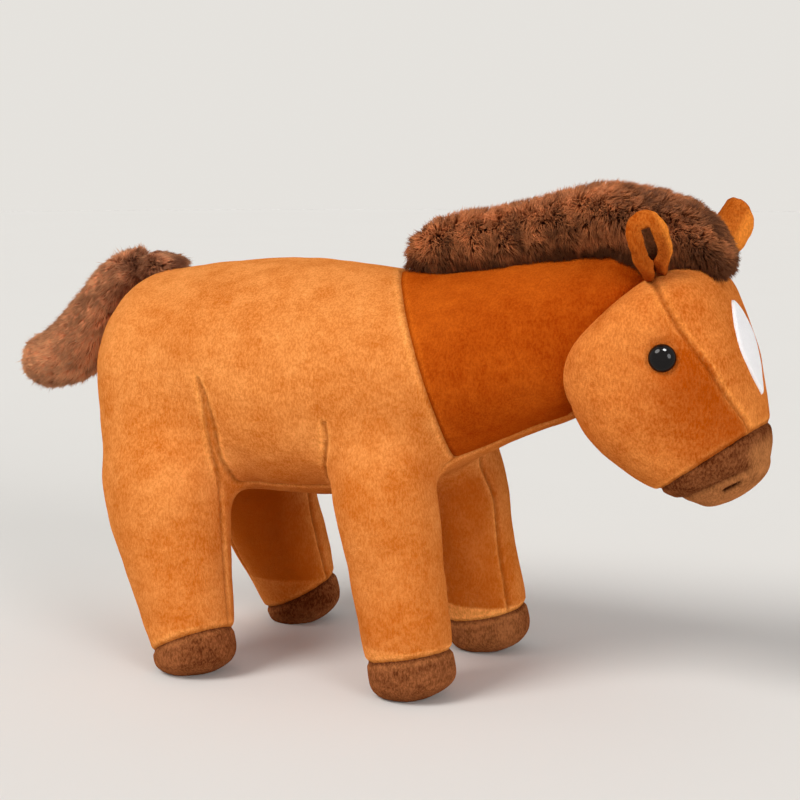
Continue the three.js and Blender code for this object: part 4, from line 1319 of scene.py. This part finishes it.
def build_mane(sizes, colours):
    form = mane_form()
    core = form.tube(70, 48, 10, grow=MANE_INSET)
    cloth, full = [form_tree(TRUNK), form_tree(HEAD)], form_tree(form)
    fur = fur_material("mane_fur", colours.fur_root, colours.mane_middle, colours.mane_tip)
    add_core("mane_roll", core, "horse", "mane", fur, FUR_TIGHT)
    for side, sign in SIDES.items():
        roots, normals = scatter(*core, sizes.mane_strands, 11 + sign, lambda middle:
                                 (nearest_distance(cloth, middle) > -0.0005)
                                 * (middle[:, 1] * sign >= 0))
        low = nearest_distance(cloth, roots)
        fringe = unit(1.3 - low / 0.006)
        back = 0.45 - 0.7 * unit(-normals[:, 0])
        down = -0.4 * unit(1 - normals[:, 2]) * (1 - fringe) - 0.3 * fringe
        comb = np.stack([back, sign * 0.8 * fringe, down], 1)
        end = unit((roots[:, 0] - 0.19) / 0.03)
        # Painted shade: hairs darker close to the neck's cloth under the mane, and darker towards
        # the poll.
        dark = unit(1.0 - low / 0.013) * 1.4 + end * 0.4
        tuft = strands(f"mane_fur_{side}", roots, normals, comb,
                       sizes.mane_pile * (1 - 0.3 * end), sizes.strand_width, 21 + sign,
                       lambda points: signed_distance(full, points), dark, fringe * 0.005)
        finish_piece(tuft, "horse", [], "brown_fur", fur)


def build_tail(sizes, colours):
    form = tail_form()
    core = form.tube(50, 44, 10, grow=TAIL_INSET)
    fur = fur_material("tail_fur", colours.fur_root, colours.tail_middle, colours.tail_tip)
    add_core("tail_roll", core, "tail", "tail_cover", fur, FUR_TIGHT)
    roots, normals = scatter(*core, sizes.tail_strands, 31, lambda middle: 1.0)
    spine = form.surface(np.linspace(0, 1, 60)[:, None], np.array([[0.0, np.pi]])).mean(1)
    at = nearest(spine, roots)[0]
    towards_tip = normalised(np.gradient(spine, axis=0))
    comb = towards_tip[at] * unit(at / 18)[:, None] * 0.8
    full = form_tree(form)
    tuft = strands("tail_fur", roots, normals, comb, sizes.tail_pile, sizes.strand_width, 32,
                   lambda points: signed_distance(full, points), unit(1 - at / 22) * 0.8 - 0.3)
    finish_piece(tuft, "tail", [], "brown_fur", fur)
    build_tail_root(sizes, fur)


def build_tail_root(sizes, fur):
    """The tuft at the dock, with hairs that lie forwards over the rump."""
    pivot, rump = (np.array(joint("tail_wag")[key]) for key in ("pos_m", "axis"))
    ball = StuffedForm(KNOT_STATIONS, 4.6, 4.6, place=Matrix.Translation(pattern(pivot)))
    core = ball.tube(14, 28, 6)
    add_core("tail_knot", core, "tail_root", "tail_root", fur)
    skin = form_tree(TRUNK)
    roots, normals = scatter(*core, KNOT_HAIRS, 41,
                             lambda middle: signed_distance(skin, middle) > -0.003)
    forward = np.cross((0, 1, 0), rump)
    ahead = np.clip((roots - pivot) @ forward / 0.008, -1, 1)
    length = sizes.tail_pile * (0.75 + 0.8 * unit(ahead))
    flat = normals - (normals @ rump)[:, None] * rump * 0.3
    comb = forward * (0.3 + 0.9 * ahead[:, None]) - rump * 0.1

    def trim(points):
        tapered = 0.42 * np.maximum((points - pivot) @ forward, 0)
        return signed_distance(skin, points) - KNOT_HEIGHT + tapered

    tuft = strands("tail_root_fur", roots, flat, comb, length, sizes.strand_width, 42, trim, 0.3)
    finish_piece(tuft, "tail_root", [], "brown_fur", fur)


def dress_stuffing(colours):
    dress(frame["nodes"]["stuffing_tail"], fibre_material(colours.fibre))


def build_floor(colours):
    """A pale floor, as a wide disc."""
    around = 96
    turns = [2 * math.pi * j / around for j in range(around)]
    points = [(0, 0, 0)] + [(r * math.cos(a), r * math.sin(a), 0)
                            for r in FLOOR_RINGS[1:] for a in turns]
    faces = [(0, 1 + j, 1 + (j + 1) % around) for j in range(around)]
    for first in range(1, 1 + (len(FLOOR_RINGS) - 2) * around, around):
        for j in range(around):
            a, b = first + j, first + (j + 1) % around
            faces.append((a, a + around, b + around, b))
    floor = add_object("studio_floor", points, faces)
    dress(floor, floor_material(colours.floor))


def build_world(colours):
    """Soft light from all round. Camera, gloss and glass see the plain backdrop in its place."""
    world = bpy.data.worlds.new("Studio")
    bpy.context.scene.world = world
    nodes = Nodes(world, "World")
    rays = nodes.add("LightPath").outputs
    seen = nodes.math("MAXIMUM", rays["Is Camera Ray"], rays["Is Glossy Ray"])
    seen = nodes.math("MAXIMUM", seen, rays["Is Transmission Ray"])
    light = nodes.add("Background", {"Color": (1.0, 0.985, 0.965, 1), "Strength": 0.5})
    backdrop = nodes.add("Background", {"Color": rgba(colours.backdrop)})
    inputs = {0: seen, 1: light.outputs[0], 2: backdrop.outputs[0]}
    nodes.finish(nodes.add("MixShader", inputs))


def set_up(name, data, direction, place=(0, 0, 0)):
    """Puts a lamp or camera at a place, facing in a direction."""
    holder = bpy.data.objects.new(name, data)
    holder.location = place
    holder.rotation_euler = Vector(direction).to_track_quat("-Z", "Y").to_euler()
    bpy.context.scene.collection.objects.link(holder)
    return holder


def build_stage(colours):
    build_floor(colours)
    build_world(colours)
    scene = bpy.context.scene
    scene.view_settings.view_transform = "Standard"
    for name, (strength, spread, colour, direction) in SUNS.items():
        sun = bpy.data.lights.new(name, "SUN")
        sun.energy, sun.angle, sun.color = strength, math.radians(spread), colour
        set_up(name, sun, direction)
    panel = bpy.data.lights.new("Panel", "AREA")  # seen only as the glint on glossy pieces
    panel.shape, panel.size, panel.energy = "DISK", 0.4, 22.0
    glint = set_up("Panel", panel, Vector(GLINT_AIM) - Vector(GLINT_PLACE), GLINT_PLACE)
    glint.visible_diffuse = False

    camera = bpy.data.cameras.new("Camera")
    camera.lens, camera.sensor_width = LENS, 36
    turn, rise = math.radians(CAMERA_TURN), math.radians(CAMERA_RISE)
    away = Vector((math.sin(turn) * math.cos(rise), -math.cos(turn) * math.cos(rise),
                   math.sin(rise)))
    place = Vector(CAMERA_TARGET) + away * CAMERA_DISTANCE
    scene.camera = set_up("Camera", camera, -away, place)


# Operators, in the order in which they run

class HORSE_OT_stage(bpy.types.Operator):
    """Lay the floor and set the lamps and the camera"""

    bl_idname = "horse.stage"
    bl_label = "Stage"

    def execute(self, context):
        build_stage(context.scene.horse_colours)
        return {"FINISHED"}


class HORSE_OT_body(bpy.types.Operator):
    """Sew and stuff the body, neck, legs and hooves"""

    bl_idname = "horse.body"
    bl_label = "Body, neck and legs"

    def execute(self, context):
        build_body(context.scene.horse_sizes, context.scene.horse_colours)
        return {"FINISHED"}


class HORSE_OT_head(bpy.types.Operator):
    """Sew and stuff the head, nose and lip"""

    bl_idname = "horse.head"
    bl_label = "Head"

    def execute(self, context):
        build_head(context.scene.horse_sizes, context.scene.horse_colours)
        return {"FINISHED"}


class HORSE_OT_blaze(bpy.types.Operator):
    """Stitch the white blaze on the forehead"""

    bl_idname = "horse.blaze"
    bl_label = "Blaze"

    def execute(self, context):
        build_blaze(context.scene.horse_colours)
        return {"FINISHED"}


class HORSE_OT_eyes(bpy.types.Operator):
    """Set the eyes, and finish the washers behind them"""

    bl_idname = "horse.eyes"
    bl_label = "Eyes"

    def execute(self, context):
        build_eyes(context.scene.horse_colours)
        return {"FINISHED"}


class HORSE_OT_ears(bpy.types.Operator):
    """Fold the ears and line them"""

    bl_idname = "horse.ears"
    bl_label = "Ears"

    def execute(self, context):
        build_ears(context.scene.horse_colours)
        return {"FINISHED"}


class HORSE_OT_mane(bpy.types.Operator):
    """Grow the mane from the withers to the forehead"""

    bl_idname = "horse.mane"
    bl_label = "Mane"

    def execute(self, context):
        build_mane(context.scene.horse_sizes, context.scene.horse_colours)
        return {"FINISHED"}


class HORSE_OT_tail(bpy.types.Operator):
    """Grow the tail and its root"""

    bl_idname = "horse.tail"
    bl_label = "Tail"

    def execute(self, context):
        build_tail(context.scene.horse_sizes, context.scene.horse_colours)
        return {"FINISHED"}


class HORSE_OT_stuffing(bpy.types.Operator):
    """Give the stuffing inside the tail its fibre finish"""

    bl_idname = "horse.stuffing"
    bl_label = "Tail stuffing"

    def execute(self, context):
        dress_stuffing(context.scene.horse_colours)
        return {"FINISHED"}


STEPS = (HORSE_OT_stage, HORSE_OT_body, HORSE_OT_head, HORSE_OT_blaze, HORSE_OT_eyes,
         HORSE_OT_ears, HORSE_OT_mane, HORSE_OT_tail, HORSE_OT_stuffing)


class HORSE_PT_panel(bpy.types.Panel):
    """Lists the horse's pieces, sizes and colours"""

    bl_idname = "HORSE_PT_panel"
    bl_label = "Plush horse"
    bl_space_type = "VIEW_3D"
    bl_region_type = "UI"
    bl_category = "Plush horse"

    def draw(self, context):
        for step in STEPS:
            self.layout.operator(step.bl_idname)
        for group in (context.scene.horse_sizes, context.scene.horse_colours):
            box = self.layout.box()
            for name in group.__annotations__:
                box.prop(group, name)


CLASSES = (HorseSizes, HorseColours, *STEPS, HORSE_PT_panel)


def register():
    for cls in CLASSES:
        bpy.utils.register_class(cls)
    bpy.types.Scene.horse_sizes = PointerProperty(type=HorseSizes)
    bpy.types.Scene.horse_colours = PointerProperty(type=HorseColours)


def unregister():
    del bpy.types.Scene.horse_colours
    del bpy.types.Scene.horse_sizes
    for cls in reversed(CLASSES):
        bpy.utils.unregister_class(cls)


def main():
    register()
    for step in STEPS:
        group, name = step.bl_idname.split(".")
        getattr(getattr(bpy.ops, group), name)()


if __name__ == "__main__":
    main()
